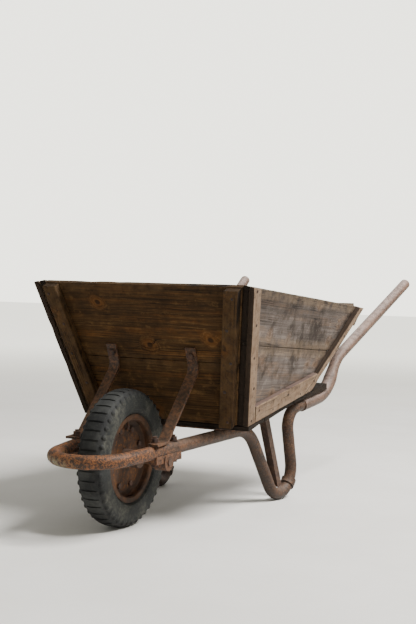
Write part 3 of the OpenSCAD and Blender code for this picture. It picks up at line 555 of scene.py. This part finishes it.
@dataclass(frozen=True)
class TimberFinish:
    """Weathered softwood, read along each board's own grain.

    Ends is the colour of painted shade on what faces forward, and the top shade is painted shade on
    what faces up; torn is the colour of the chewed long edges and cleft of the cracks. The numbers say
    how strongly each mark shows; depth is in metres.
    """

    name: str
    dark: Tone
    mid: Tone
    light: Tone
    warm: Tone
    edge: Tone
    warm_share: float = 0.5
    edge_share: float = 0.6
    grime: float = 0.6
    knots: float = 1.0
    spread: float = 0.15
    ends: Optional[Tone] = None
    painted_top_shade: Optional[Tone] = None
    torn: Tone = tone(34, 27, 24)
    cleft: Tone = tone(16, 12, 10)
    split: float = 0.9
    chew: float = 0.4
    figure: float = 0.25
    hair: float = 0.5
    stain: float = 0.0
    depth: float = 0.0011
    sheen: float = 0.14

    def material(self) -> bpy.types.Material:
        """The timber as a material."""
        g = Graph(self.name)
        place = g.place()
        grain = Grain(g, self.knots)
        worn, butt, inset = (g.attribute(name, "Fac") for name in ("worn", "butt", "inset"))
        fibre = grain.streaks(1.8, 42.0, 6.0, 0.6)
        hair = grain.streaks(9.0, 190.0, 3.0, 0.6)
        bands = grain.streaks(0.9, 11.0, 3.0, 0.5)
        arch = grain.streaks(0.5, 4.2, 2.0, 0.4) * 9.0
        crack = grain.cracks()
        broad = g.clouds(place, 6.5, 6.0, 0.62)
        mottle = g.clouds(place, 34.0, 7.0, 0.66)
        speck = g.clouds(place, 330.0, 3.0, 0.6)
        wood = (fibre * 0.75 + bands * 0.35).rise(0.55 - self.spread, 0.55 + self.spread)
        warm = grain.streaks(1.7, 8.0, 5.0, 0.6).rise(0.45, 0.62)
        warm = warm * self.warm_share * (mottle * 0.6 + fibre * 0.6).rise(0.45, 0.7)
        rings = abs((arch + grain.halo * 2.5).fraction() - 0.5).rise(0.3, 0.47)
        rings = rings * (mottle + broad * 0.6 + grain.halo * 0.25).rise(0.72, 1.0)
        blot = broad * 0.6 + g.clouds(place, 15.0, 6.0, 0.7) * 0.4
        wet = (g.axis(place, "Z") + (broad - 0.5) * 0.16).rise(*STAIN_ZONE)
        chewed = inset.rise(0.013, 0.001) * g.clouds(place, 60.0, 5.0, 0.7).rise(0.54, 0.63)
        colour = g.layers(
            self.dark,
            (wood, self.mid),
            (hair.rise(0.5, 0.68) * self.hair * fibre.rise(0.3, 0.6), self.light),
            (warm, self.warm),
            (rings * self.figure, self.light),
            (blot.rise(0.55, 0.38) * self.grime, self.dark),
            (mottle.rise(0.56, 0.7) * 0.3, self.light),
            (wet * self.stain, self.dark),
            (speck.rise(0.6, 0.75) * 0.35, self.dark),
            (grain.halo * 0.5, self.warm),
            (grain.knot * 0.85, self.dark),
            (worn * mottle.rise(0.32, 0.6) * self.edge_share, self.edge),
            (inset.rise(0.022, 0.0) * (0.25 + mottle * 0.5) * self.grime, self.dark),
            (chewed * self.chew, self.torn),
            (butt * (0.4 + speck * 0.5), self.dark))
        facing = g.facing()
        # Painted shade on faces that look up.
        if self.painted_top_shade is not None:
            colour = g.blend(g.axis(facing, "Z").rise(0.86, 0.95) * 0.8, colour, self.painted_top_shade)
        # Painted shade: faces that look forward take the ends colour.
        if self.ends is not None:
            forward = g.axis(facing, "Y").rise(-0.25, -0.5)
            colour = g.blend(forward * (0.75 + fibre * 0.3), colour, self.ends)
        colour = g.blend(crack * self.split, colour, self.cleft)
        height = fibre * 0.5 + hair * 0.28 + speck * 0.1 + mottle * 0.2 + rings * self.figure * 0.4
        height = height + grain.knot * 0.25 - crack * 1.3 * self.split - chewed * self.chew
        return g.finished(colour, 0.72 + mottle * 0.2, height, self.depth, self.sheen)


def new_object(name: str, data: bpy.types.ID) -> bpy.types.Object:
    """A new object in the scene, at the origin, from a mesh, light or camera."""
    made = bpy.data.objects.new(name, data)
    bpy.context.scene.collection.objects.link(made)
    return made


def paint(node: str, finish: bpy.types.Material) -> None:
    """Gives a CAD node its finish."""
    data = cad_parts[node].data
    for i in range(len(data.materials)):
        data.materials[i] = finish
    log.info("finished %s in %s", node, finish.name)


class Jig(NodeTree):
    """A Geometry Nodes tree with named inputs, run on a mesh of marks to make one piece."""

    def __init__(self, name: str, inputs: Dict[str, str]) -> None:
        """Starts the tree.

        Args:
            name: The tree's name.
            inputs: Its inputs' names and kinds, after the marks.
        """
        super().__init__(bpy.data.node_groups.new(name, "GeometryNodeTree"))
        face = self.tree.interface
        face.new_socket(name="Marks", in_out="INPUT", socket_type="NodeSocketGeometry")
        for label, kind in inputs.items():
            face.new_socket(name=label, in_out="INPUT", socket_type=kind)
        face.new_socket(name="Piece", in_out="OUTPUT", socket_type="NodeSocketGeometry")
        self.start = self.add("NodeGroupInput").socket.node

    def size(self, name: str) -> Field:
        """One of the tree's inputs."""
        return Field(self, self.start.outputs[name])

    def moved(self, geometry: Field, how: str, amount: Any) -> Field:
        """Geometry after one Translation, Rotation or Scale."""
        return self.add("GeometryNodeTransform", {}, {"Geometry": geometry, how: amount})

    def close(self, instances: Field) -> None:
        """Ends the tree: real meshes, smooth, with their material."""
        real = self.add("GeometryNodeRealizeInstances", {}, {0: instances})
        smooth = self.add("GeometryNodeSetShadeSmooth", {}, {0: real})
        finish = {"Geometry": smooth, "Material": self.size("Finish")}
        done = self.add("GeometryNodeSetMaterial", {}, finish)
        self.add("NodeGroupOutput", {}, {0: done})

    def run(self, name: str, marks: bpy.types.Mesh, values: Dict[str, Any]) -> bpy.types.Object:
        """Makes one plain mesh with the tree.

        Args:
            name: The new piece's name.
            marks: The mesh the tree starts from.
            values: The inputs by name.

        Returns:
            The piece, at the origin, with no modifier.
        """
        piece = new_object(name, marks)
        modifier = piece.modifiers.new("jig", "NODES")
        modifier.node_group = self.tree
        for item in self.tree.interface.items_tree:
            if item.in_out == "INPUT" and item.name in values:
                modifier[item.identifier] = values[item.name]
        graph = bpy.context.evaluated_depsgraph_get()
        made = bpy.data.meshes.new_from_object(piece.evaluated_get(graph), depsgraph=graph)
        piece.modifiers.clear()
        piece.data = made
        return piece


def marks_mesh(name: str, places: Sequence[Vector], facings: Sequence[Vector]) -> bpy.types.Mesh:
    """A mesh of loose points, each with the way it faces.

    Args:
        name: The mesh's name.
        places: The points.
        facings: The directions.

    Returns:
        The mesh, with the point attribute "facing".
    """
    mesh = bpy.data.meshes.new(name)
    mesh.from_pydata([tuple(p) for p in places], [], [])
    layer = mesh.attributes.new("facing", "FLOAT_VECTOR", "POINT")
    layer.data.foreach_set("vector", np.array([tuple(f) for f in facings], float).ravel())
    return mesh


@dataclass
class Board:
    """One sawn piece of the tray, worked from its node: eased and knocked edges, and its own grain.

    The ease is the radius of the edges, the knock how deep they are worn, and the grid the size of
    the faces that the wear moves, in metres. Short edges and blunt ones stay as they are. Waves and
    chips are how often the wear and the chips come and go in a metre.
    """

    node: str
    finish: bpy.types.Material
    slot: str
    number: int
    ease: float = 0.0022
    knock: float = 0.0022
    grid: float = 0.028
    shortest_eased: float = 0.009
    kept_angle: float = math.radians(25)
    waves: float = 9.0
    chips: float = 40.0
    along: Vector = field(init=False)
    wide: Vector = field(init=False)
    thick: Vector = field(init=False)
    middle: Vector = field(init=False)
    sizes: List[float] = field(init=False)

    def build(self) -> bpy.types.Object:
        """Cuts the board and puts it in its node's place.

        Returns:
            The finished piece.
        """
        bench = bmesh.new()
        bench.from_mesh(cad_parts[self.node].data)
        bmesh.ops.remove_doubles(bench, verts=bench.verts, dist=1e-5)
        bmesh.ops.dissolve_limit(
            bench, angle_limit=math.radians(1), verts=bench.verts, edges=bench.edges)
        self._find_axes(bench)
        self._ease_edges(bench)
        self._cut_grid(bench)
        self._weather(bench)
        mesh = bpy.data.meshes.new("timber_" + self.node)
        bench.to_mesh(mesh)
        bench.free()
        mesh.materials.append(self.finish)
        piece = new_object("timber_" + self.node, mesh)
        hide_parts(self.node)
        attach(piece, Body.FRAME.value)
        return piece

    def _find_axes(self, bench: bmesh.types.BMesh) -> None:
        """Finds the middle, the directions and the sizes the board was sawn to."""
        broad = max(bench.faces, key=lambda f: f.calc_area())
        longest = max(bench.edges, key=lambda e: e.calc_length())
        self.along = (longest.verts[1].co - longest.verts[0].co).normalized()
        if self.along[max(range(3), key=lambda i: abs(self.along[i]))] < 0:
            self.along = -self.along
        self.thick = broad.normal.normalized()
        self.thick = (self.thick - self.along * self.thick.dot(self.along)).normalized()
        self.wide = self.thick.cross(self.along).normalized()
        axes = (self.along, self.wide, self.thick)
        spans = [[v.co.dot(a) for v in bench.verts] for a in axes]
        lows = [min(s) for s in spans]
        highs = [max(s) for s in spans]
        self.sizes = [h - l for h, l in zip(highs, lows)]
        self.middle = sum((a * (h + l) / 2 for a, h, l in zip(axes, highs, lows)), Vector())

    def _ease_edges(self, bench: bmesh.types.BMesh) -> None:
        """Rounds the long edges and marks the rounded faces."""
        sharp = [e for e in bench.edges
                 if e.calc_length() > self.shortest_eased and len(e.link_faces) == 2
                 and e.calc_face_angle(0.0) > self.kept_angle]
        for face in bench.faces:
            face.smooth = False
        done = bmesh.ops.bevel(bench, geom=sharp, offset=self.ease, offset_type="OFFSET", segments=2,
                               profile=0.5, affect="EDGES", clamp_overlap=True)
        for face in done["faces"]:
            face.smooth = True

    def _cut_grid(self, bench: bmesh.types.BMesh) -> None:
        """Cuts the faces across, so that the weathering has something to move."""
        for axis, size in ((self.along, self.sizes[0]), (self.wide, self.sizes[1])):
            count = max(int(size / self.grid), 1)
            for i in range(1, count):
                spot = self.middle + axis * (i / count - 0.5) * size
                everything = bench.verts[:] + bench.edges[:] + bench.faces[:]
                bmesh.ops.bisect_plane(bench, geom=everything, dist=1e-6, plane_co=spot, plane_no=axis)

    def _weather(self, bench: bmesh.types.BMesh) -> None:
        """Knocks the edges inwards and writes the grain, wear, end-grain and inset attributes."""
        bench.normal_update()
        grain = bench.verts.layers.float_vector.new("grain")
        worn, butt, inset = (bench.verts.layers.float.new(name) for name in ("worn", "butt", "inset"))
        own = Vector((self.number * 1.37, self.number * 0.71, self.number * 0.43))
        moves = []
        for vert in bench.verts:
            spot = vert.co - self.middle
            vert[grain] = Vector((spot.dot(self.along), spot.dot(self.wide), spot.dot(self.thick))) + own
            vert[inset] = max(self.sizes[1] / 2 - abs(spot.dot(self.wide)), 0.0)
            edge = any(f.smooth for f in vert.link_faces)
            sawn = [f for f in vert.link_faces if not f.smooth and abs(f.normal.dot(self.along)) > 0.7]
            vert[worn] = 1.0 if edge else 0.0
            vert[butt] = 1.0 if sawn else 0.0
            rough = 0.5 + noise.noise((vert.co + own) * self.waves)
            chip = max(noise.noise((vert.co - own) * self.chips) - 0.25, 0.0) * 2.6
            depth = self.knock * (0.35 * max(rough, 0.0) + chip) if edge else 0.0002 * rough
            moves.append((vert, vert.normal * -min(depth, self.knock * 1.3)))
        for vert, step in moves:
            vert.co += step


@dataclass
class NailRow:
    """A row of nails along a board's outer face.

    The offset and the start are shares of the board's width and length, and so is how far a nail may
    stray across and along. The lean is how far it may tip.
    """

    board: Board
    count: int
    offset: float = 0.2
    start: float = 0.06
    stray_across: float = 0.12
    stray_along: float = 0.012
    lean: float = 0.12
    sunk: float = 0.0004

    def marks(self, centre: Vector) -> List[Tuple[Vector, Vector]]:
        """The nails' places.

        Args:
            centre: A point inside the tray, which the nails face away from.

        Returns:
            Each nail's place and the way it faces.
        """
        b = self.board
        out = b.thick if b.thick.dot(b.middle - centre) > 0 else -b.thick
        found = []
        for i in range(self.count):
            share = self.start + (1 - 2 * self.start) * i / max(self.count - 1, 1)
            drift = noise.noise(Vector((b.number * 3.1, i * 1.7, 0.5)))
            side = (self.offset if i % 2 else -self.offset) + drift * self.stray_across
            length = b.along * (share - 0.5 + drift * self.stray_along) * b.sizes[0]
            spot = b.middle + length + b.wide * side * b.sizes[1]
            facing = (out + b.along * drift * self.lean).normalized()
            found.append((spot + out * (b.sizes[2] / 2 - self.sunk), facing))
        return found


@dataclass
class Nails:
    """Round rusty nail heads, some of them proud of the timber."""

    rows: List[NailRow]
    finish: bpy.types.Material
    head_radius: float = 0.0042
    head_height: float = 0.0016
    seed: int = 5

    def tree(self) -> Jig:
        """The nodes that put a head on every mark."""
        jig = Jig("nail heads", {
            "Head Radius": "NodeSocketFloat", "Head Height": "NodeSocketFloat",
            "Seed": "NodeSocketInt", "Finish": "NodeSocketMaterial"})
        points = jig.add("GeometryNodeMeshToPoints", {}, {"Mesh": jig.size("Marks")})
        head = jig.add("GeometryNodeMeshUVSphere", {}, {"Segments": 12, "Rings": 6, "Radius": 1.0})
        radius = jig.size("Head Radius")
        flat = jig.add("ShaderNodeCombineXYZ", {}, {0: radius, 1: radius, 2: jig.size("Head Height")})
        head = jig.moved(head, "Scale", flat)
        facing = jig.add(
            "GeometryNodeInputNamedAttribute", {"data_type": "FLOAT_VECTOR"}, {"Name": "facing"})
        turned = jig.add("FunctionNodeAlignRotationToVector", {"axis": "Z"}, {"Vector": facing})
        grown = jig.add("FunctionNodeRandomValue", {"data_type": "FLOAT"},
                        {2: 0.8, 3: 1.2, "Seed": jig.size("Seed")}, 1)
        placed = jig.add("GeometryNodeInstanceOnPoints", {}, {
            "Points": points, "Instance": head, "Rotation": turned, "Scale": grown})
        jig.close(placed)
        return jig

    def build(self, centre: Vector) -> bpy.types.Object:
        """Drives the nails.

        Args:
            centre: A point inside the tray.

        Returns:
            All the heads as one piece.
        """
        found = [mark for row in self.rows for mark in row.marks(centre)]
        marks = marks_mesh("nail marks", [m[0] for m in found], [m[1] for m in found])
        piece = self.tree().run("nail_heads", marks, {
            "Head Radius": self.head_radius, "Head Height": self.head_height,
            "Seed": self.seed, "Finish": self.finish})
        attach(piece, Body.FRAME.value)
        return piece


@dataclass
class Tray:
    """The nailed timber tray on its bearers.

    Each knock is how deep the edges of that timber are worn, in metres. The nails face away from a
    point that lies nails_aim above the floor.
    """

    front: TimberFinish
    side: TimberFinish
    batten: TimberFinish
    floor: TimberFinish
    nail: RustFinish
    knock_board: float = 0.0014
    knock_batten: float = 0.0016
    knock_floor: float = 0.0035
    knock_bearer: float = 0.002
    nails_aim: float = 0.15

    def boards(self) -> List[Board]:
        """Every piece of timber, with its finish."""
        tail_finish = replace(self.side, name="tail timber", ends=None, stain=0.0)
        front, side, tail, batten, floor = (
            f.material() for f in (self.front, self.side, tail_finish, self.batten, self.floor))
        two = ("upper", "lower")
        groups: List[Tuple[List[str], bpy.types.Material, str, float]] = [
            ([f"front_board_{n}" for n in two], front, "front_timber", self.knock_board),
            ([f"front_batten_{h}" for h in HANDS], front, "front_timber", self.knock_batten),
            ([f"side_board_{n}_{h}" for n in two for h in HANDS], side, "side_timber", self.knock_board),
            ([*(f"tail_board_{n}" for n in two), "tail_rail"], tail, "side_timber", self.knock_board),
            ([f"{n}_side_batten_{h}" for n in ("front", "bottom", "rear") for h in HANDS],
             batten, "batten_timber", self.knock_batten),
            ([f"floor_board_{i}" for i in range(1, 5)], floor, "floor_timber", self.knock_floor),
            ([f"bearer_{h}" for h in HANDS], floor, "floor_timber", self.knock_bearer)]
        plan = [(n, f, s, k) for nodes, f, s, k in groups for n in nodes]
        return [Board(n, f, s, i, knock=k) for i, (n, f, s, k) in enumerate(plan, 1)]

    def build(self) -> List[bpy.types.Object]:
        """Builds the tray's pieces."""
        boards = {b.node: b for b in self.boards()}
        pieces = [b.build() for b in boards.values()]
        rows = []
        for hand in HANDS:
            rows += [NailRow(boards[f"front_batten_{hand}"], 5, 0.16),
                     NailRow(boards[f"front_side_batten_{hand}"], 5, 0.06, 0.05),
                     NailRow(boards[f"bottom_side_batten_{hand}"], 5, 0.2),
                     NailRow(boards[f"rear_side_batten_{hand}"], 4, 0.1)]
        rows.append(NailRow(boards["tail_rail"], 7, 0.24))
        low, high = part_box("floor_board_2")
        centre = (low + high) / 2 + Vector((0, 0, self.nails_aim))
        return pieces + [Nails(rows, self.nail.material()).build(centre)]


@dataclass
class Wheel:
    """The tyre, its ribs, the pressed rim and the axle.

    A rib's half sizes are its reach to the side, its width round the tyre and its depth towards the
    axle. The shoulder is measured on the tyre within rib_band of the ribs' radius. Lengths are in metres.
    """

    rubber: RubberFinish
    rim: RimFinish
    axle: RustFinish
    bolts: bpy.types.Material
    ribs: int = 44
    rib_radius: float = 0.1590
    rib_size: Triple = (0.0120, 0.0088, 0.0054)
    rib_sunk: float = 0.0052
    rib_band: float = 0.006

    def rib_tree(self) -> Jig:
        """The nodes that stand ribs round both shoulders of the tyre."""
        jig = Jig("shoulder ribs", {
            "Count": "NodeSocketInt", "Radius": "NodeSocketFloat", "Half Width": "NodeSocketFloat",
            "Rib": "NodeSocketVector", "Place": "NodeSocketVector", "Finish": "NodeSocketMaterial"})
        circle = {"Vertices": jig.size("Count"), "Radius": jig.size("Radius")}
        ring = jig.add("GeometryNodeMeshCircle", {}, circle)
        rib = jig.add("GeometryNodeMeshUVSphere", {}, {"Segments": 10, "Rings": 6, "Radius": 1.0})
        rib = jig.moved(rib, "Scale", jig.size("Rib"))
        spot = jig.add("GeometryNodeInputPosition")
        turned = jig.add("FunctionNodeAlignRotationToVector", {"axis": "X"}, {"Vector": spot})
        ribs = jig.add(
            "GeometryNodeInstanceOnPoints", {}, {"Points": ring, "Instance": rib, "Rotation": turned})
        half = jig.size("Half Width")
        moves = [jig.add("ShaderNodeCombineXYZ", {}, {2: reach}) for reach in (half, half * -1.0)]
        sides = [jig.moved(ribs, "Translation", move) for move in moves]
        both = jig.add("GeometryNodeJoinGeometry", {}, {0: sides})
        upright = jig.moved(both, "Rotation", (0.0, math.pi / 2, 0.0))
        jig.close(jig.moved(upright, "Translation", jig.size("Place")))
        return jig

    def shoulder(self) -> float:
        """How far the tyre's wall stands out from its middle at the ribs' radius."""
        reach = [abs(v.co.x - AXLE.x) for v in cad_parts["tyre"].data.vertices
                 if abs(math.hypot(v.co.y - AXLE.y, v.co.z - AXLE.z) - self.rib_radius) < self.rib_band]
        return max(reach)

    def build(self) -> List[bpy.types.Object]:
        """Builds the ribs and gives the wheel's nodes their finishes."""
        rubber = self.rubber.material()
        marks = marks_mesh("rib marks", [AXLE], [Vector((1, 0, 0))])
        ribs = self.rib_tree().run("tyre_shoulder_ribs", marks, {
            "Count": self.ribs, "Radius": self.rib_radius, "Half Width": self.shoulder() - self.rib_sunk,
            "Rib": self.rib_size, "Place": tuple(AXLE), "Finish": rubber})
        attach(ribs, Body.WHEEL.value)
        rim, axle = self.rim.material(), self.axle.material()
        for nodes, finish in ((("tyre", "inner_tube"), rubber),
                              (("rim_half_right", "rim_half_left"), rim),
                              (("axle", "wheel_hub", "axle_collars"), axle),
                              (("rim_bolts", "rim_nuts", "valve_stem"), self.bolts)):
            for node in nodes:
                paint(node, finish)
        return [ribs]


@dataclass
class TubeFrame:
    """The bent front tube, the legs, the handles, and the iron that ties them to the tray."""

    tube: RustFinish
    handle: RustFinish
    casting: RustFinish
    flat: RustFinish
    angle: RustFinish
    bolts: bpy.types.Material

    def dress(self) -> None:
        """Gives every piece of iron its rust."""
        tube, handle, casting, flat, angle = (
            f.material() for f in (self.tube, self.handle, self.casting, self.flat, self.angle))
        paint("front_frame_tube", tube)
        for hand in HANDS:
            paint(f"rear_leg_tube_{hand}", tube)
            paint(f"handle_tube_{hand}", handle)
            paint(f"bearing_block_{hand}", casting)
            paint(f"leg_brace_{hand}", angle)
            paint(f"stay_{hand}", flat)
        paint("front_strap", flat)
        for node in ("bearing_bolts", "bearing_nuts", "bearing_washers", "stay_bolts", "stay_nuts",
                     "floor_bolts", "floor_nuts"):
            paint(node, self.bolts)


@dataclass(frozen=True)
class Lamp:
    """One soft square light; its size is in metres and its power in watts."""

    name: str
    place: Triple
    size: float
    power: float
    colour: Triple

    def hang(self, aim: Vector) -> None:
        """Hangs the lamp so that it faces a point."""
        data = bpy.data.lights.new(self.name, "AREA")
        data.shape = "SQUARE"
        data.size = self.size
        data.energy = self.power
        data.color = self.colour
        place = Vector(self.place)
        turn = (aim - place).to_track_quat("-Z", "Y").to_matrix().to_4x4()
        lamp = new_object(self.name, data)
        lamp.matrix_world = Matrix.Translation(place) @ turn


@dataclass
class Studio:
    """The floor, the lights and the camera.

    The floor's glow grows from near to far, in metres from the middle. The room gives a weak light,
    and it looks brighter by room_shown where the camera sees it.
    """

    eye: Triple = (1.4464, -3.1310, 0.6121)
    forward: Triple = (-0.43357, 0.90092, -0.01912)
    up: Triple = (-0.03427, 0.00472, 0.99940)
    lens: float = 65.35
    aim: Triple = (0.0, 0.0, 0.35)
    pale: Tone = tone(232, 230, 226)
    scuffed: Tone = tone(218, 215, 209)
    room: Tone = tone(246, 244, 232)
    room_light: float = 0.40
    room_shown: float = 2.9
    floor_glow: float = 1.9
    half_floor: float = 30.0
    near: float = 1.6
    far: float = 9.0
    lamps: Tuple[Lamp, ...] = (
        Lamp("window", (2.6, 0.3, 4.1), 1.9, 520.0, (1.0, 0.985, 0.96)),
        Lamp("fill", (-2.8, -2.8, 1.6), 2.6, 12.0, (0.96, 0.98, 1.0)),
        Lamp("back", (-0.6, 3.4, 2.8), 2.4, 50.0, (1.0, 0.99, 0.97)))

    def floor(self) -> None:
        """Lays a pale floor."""
        g = Graph("pale floor")
        place = g.place()
        cloud = g.clouds(place, 2.2, 6.0, 0.6)
        fine = g.clouds(place, 60.0, 5.0, 0.6)
        colour = g.blend(cloud.rise(0.3, 0.7) * 0.5 + fine * 0.2, self.pale, self.scuffed)
        away = (g.axis(place, "X") ** 2.0 + g.axis(place, "Y") ** 2.0) ** 0.5
        glow = g.blend(away.rise(self.near, self.far), tone(0, 0, 0), self.room)
        finish = g.finished(colour, 0.72 + cloud * 0.1, fine, 0.0004, 0.5,
                            {"Emission Color": glow, "Emission Strength": self.floor_glow})
        half = self.half_floor
        mesh = bpy.data.meshes.new("floor")
        mesh.from_pydata([(-half, -half, 0), (half, -half, 0), (half, half, 0), (-half, half, 0)],
                         [], [(0, 1, 2, 3)])
        mesh.materials.append(finish)
        floor = new_object("studio_floor", mesh)

    def camera(self) -> None:
        """Sets up the camera."""
        back = -Vector(self.forward).normalized()
        right = Vector(self.up).cross(back).normalized()
        turn = Matrix((right, back.cross(right), back)).transposed().to_4x4()
        data = bpy.data.cameras.new("camera")
        data.lens = self.lens
        data.sensor_width = 36.0
        data.sensor_fit = "AUTO"
        data.clip_end = 60.0
        eye = new_object("camera", data)
        eye.matrix_world = Matrix.Translation(Vector(self.eye)) @ turn
        bpy.context.scene.camera = eye

    def sky(self) -> None:
        """Fills the room with weak light."""
        world = bpy.data.worlds.new("studio")
        world.use_nodes = True
        tree = NodeTree(world.node_tree)
        seen = tree.add("ShaderNodeLightPath", output="Is Camera Ray")
        strength = self.room_light + seen * self.room_shown
        light = tree.add("ShaderNodeBackground", {}, {"Color": self.room, "Strength": strength})
        tree.add("ShaderNodeOutputWorld", {}, {"Surface": light})
        bpy.context.scene.world = world

    def build(self) -> None:
        """Builds the studio."""
        self.floor()
        for lamp in self.lamps:
            lamp.hang(Vector(self.aim))
        self.sky()
        self.camera()


def old_tray() -> Tray:
    """The tray with its finishes: dark front, grey sides, pale battens, nearly black floor."""
    return Tray(
        front=TimberFinish(
            "front timber", tone(34, 23, 12), tone(72, 50, 27), tone(116, 87, 52), tone(98, 61, 26),
            tone(92, 71, 47), edge_share=0.5, spread=0.26, split=0.85, figure=0.35,
            stain=0.35),
        side=TimberFinish(
            "side timber", tone(44, 37, 32), tone(114, 104, 98), tone(146, 137, 131), tone(120, 88, 58),
            tone(140, 120, 98), warm_share=0.4, grime=1.0, knots=0.45, spread=0.42, hair=0.22, split=0.7,
            ends=tone(24, 17, 12), figure=0.2, stain=0.85),
        batten=TimberFinish(
            "batten timber", tone(74, 54, 40), tone(132, 111, 90), tone(168, 150, 132),
            tone(120, 86, 56), tone(150, 130, 110), grime=0.55, knots=0.2, spread=0.25, split=0.7,
            ends=tone(24, 16, 11), painted_top_shade=tone(84, 69, 66)),
        floor=TimberFinish(
            "floor timber", tone(24, 19, 15), tone(40, 32, 25), tone(58, 47, 38), tone(50, 37, 27),
            tone(56, 45, 35), warm_share=0.35, edge_share=0.5, grime=0.7, chew=0.8,
            ends=tone(34, 27, 21)),
        nail=RustFinish(
            "nail rust", tone(26, 20, 17), tone(50, 36, 29), tone(74, 48, 34), tone(80, 68, 60),
            patch=60.0, depth=0.0004))


def old_wheel(bolts: bpy.types.Material) -> Wheel:
    """The wheel with its finishes and the one of all bolts and nuts."""
    return Wheel(
        rubber=RubberFinish(
            "old rubber", tone(21, 22, 23), tone(50, 51, 50), tone(92, 91, 82), tone(34, 36, 35),
            lugs=44, wall_radius=0.163, tread_radius=0.177),
        rim=RimFinish("rusted rim", tone(38, 26, 18), tone(78, 50, 28), tone(120, 73, 28), dish_radius=0.083),
        axle=RustFinish(
            "worn axle", tone(44, 34, 28), tone(78, 58, 46), tone(100, 70, 52), tone(112, 98, 88)),
        bolts=bolts)


def old_iron(bolts: bpy.types.Material) -> TubeFrame:
    """The frame's iron with its finishes and the one of all bolts and nuts."""
    return TubeFrame(
        tube=RustFinish(
            "rusted tube", tone(32, 22, 15), tone(84, 59, 42), tone(118, 76, 42), tone(172, 156, 144),
            bright_share=0.55, top_dust_and_highlight_share=0.25, under=0.75, painted_leg_shade=0.35, weather=1.0, patch=22.0,
            polish=0.48, lichen=tone(122, 117, 90)),
        handle=RustFinish(
            "worn handle", tone(54, 38, 30), tone(102, 78, 64), tone(116, 80, 56), tone(180, 164, 157),
            bright_share=0.4, top_dust_and_highlight_share=0.55, under=0.7, pit_share=0.25, patch=12.0, polish=0.4),
        casting=RustFinish(
            "rusted casting", tone(52, 36, 27), tone(102, 70, 50), tone(126, 82, 50), tone(130, 106, 88),
            pits=130.0, depth=0.0018, patch=30.0),
        flat=RustFinish(
            "rusted flat iron", tone(42, 30, 22), tone(80, 56, 40), tone(122, 78, 46), tone(118, 97, 80),
            patch=30.0, polish=0.5),
        angle=RustFinish(
            "rusted angle iron", tone(38, 27, 21), tone(80, 58, 45), tone(96, 68, 50),
            tone(122, 104, 92), patch=12.0, bright_share=0.3, depth=0.0006),
        bolts=bolts)


def main() -> None:
    """Builds the barrow and its studio."""
    logging.basicConfig(level=logging.INFO, format="%(name)s: %(message)s")
    bolts = RustFinish(
        "dark bolts", tone(40, 30, 26), tone(74, 52, 41), tone(112, 70, 48), tone(120, 104, 94),
        bright_share=0.5, top_dust_and_highlight_share=0.3, patch=40.0, depth=0.0006).material()
    for group in (old_tray(), old_wheel(bolts)):
        for piece in group.build():
            log.info("%s piece %s: %d faces", type(group).__name__, piece.name, len(piece.data.polygons))
    old_iron(bolts).dress()
    Studio().build()


if __name__ == "__main__":
    main()
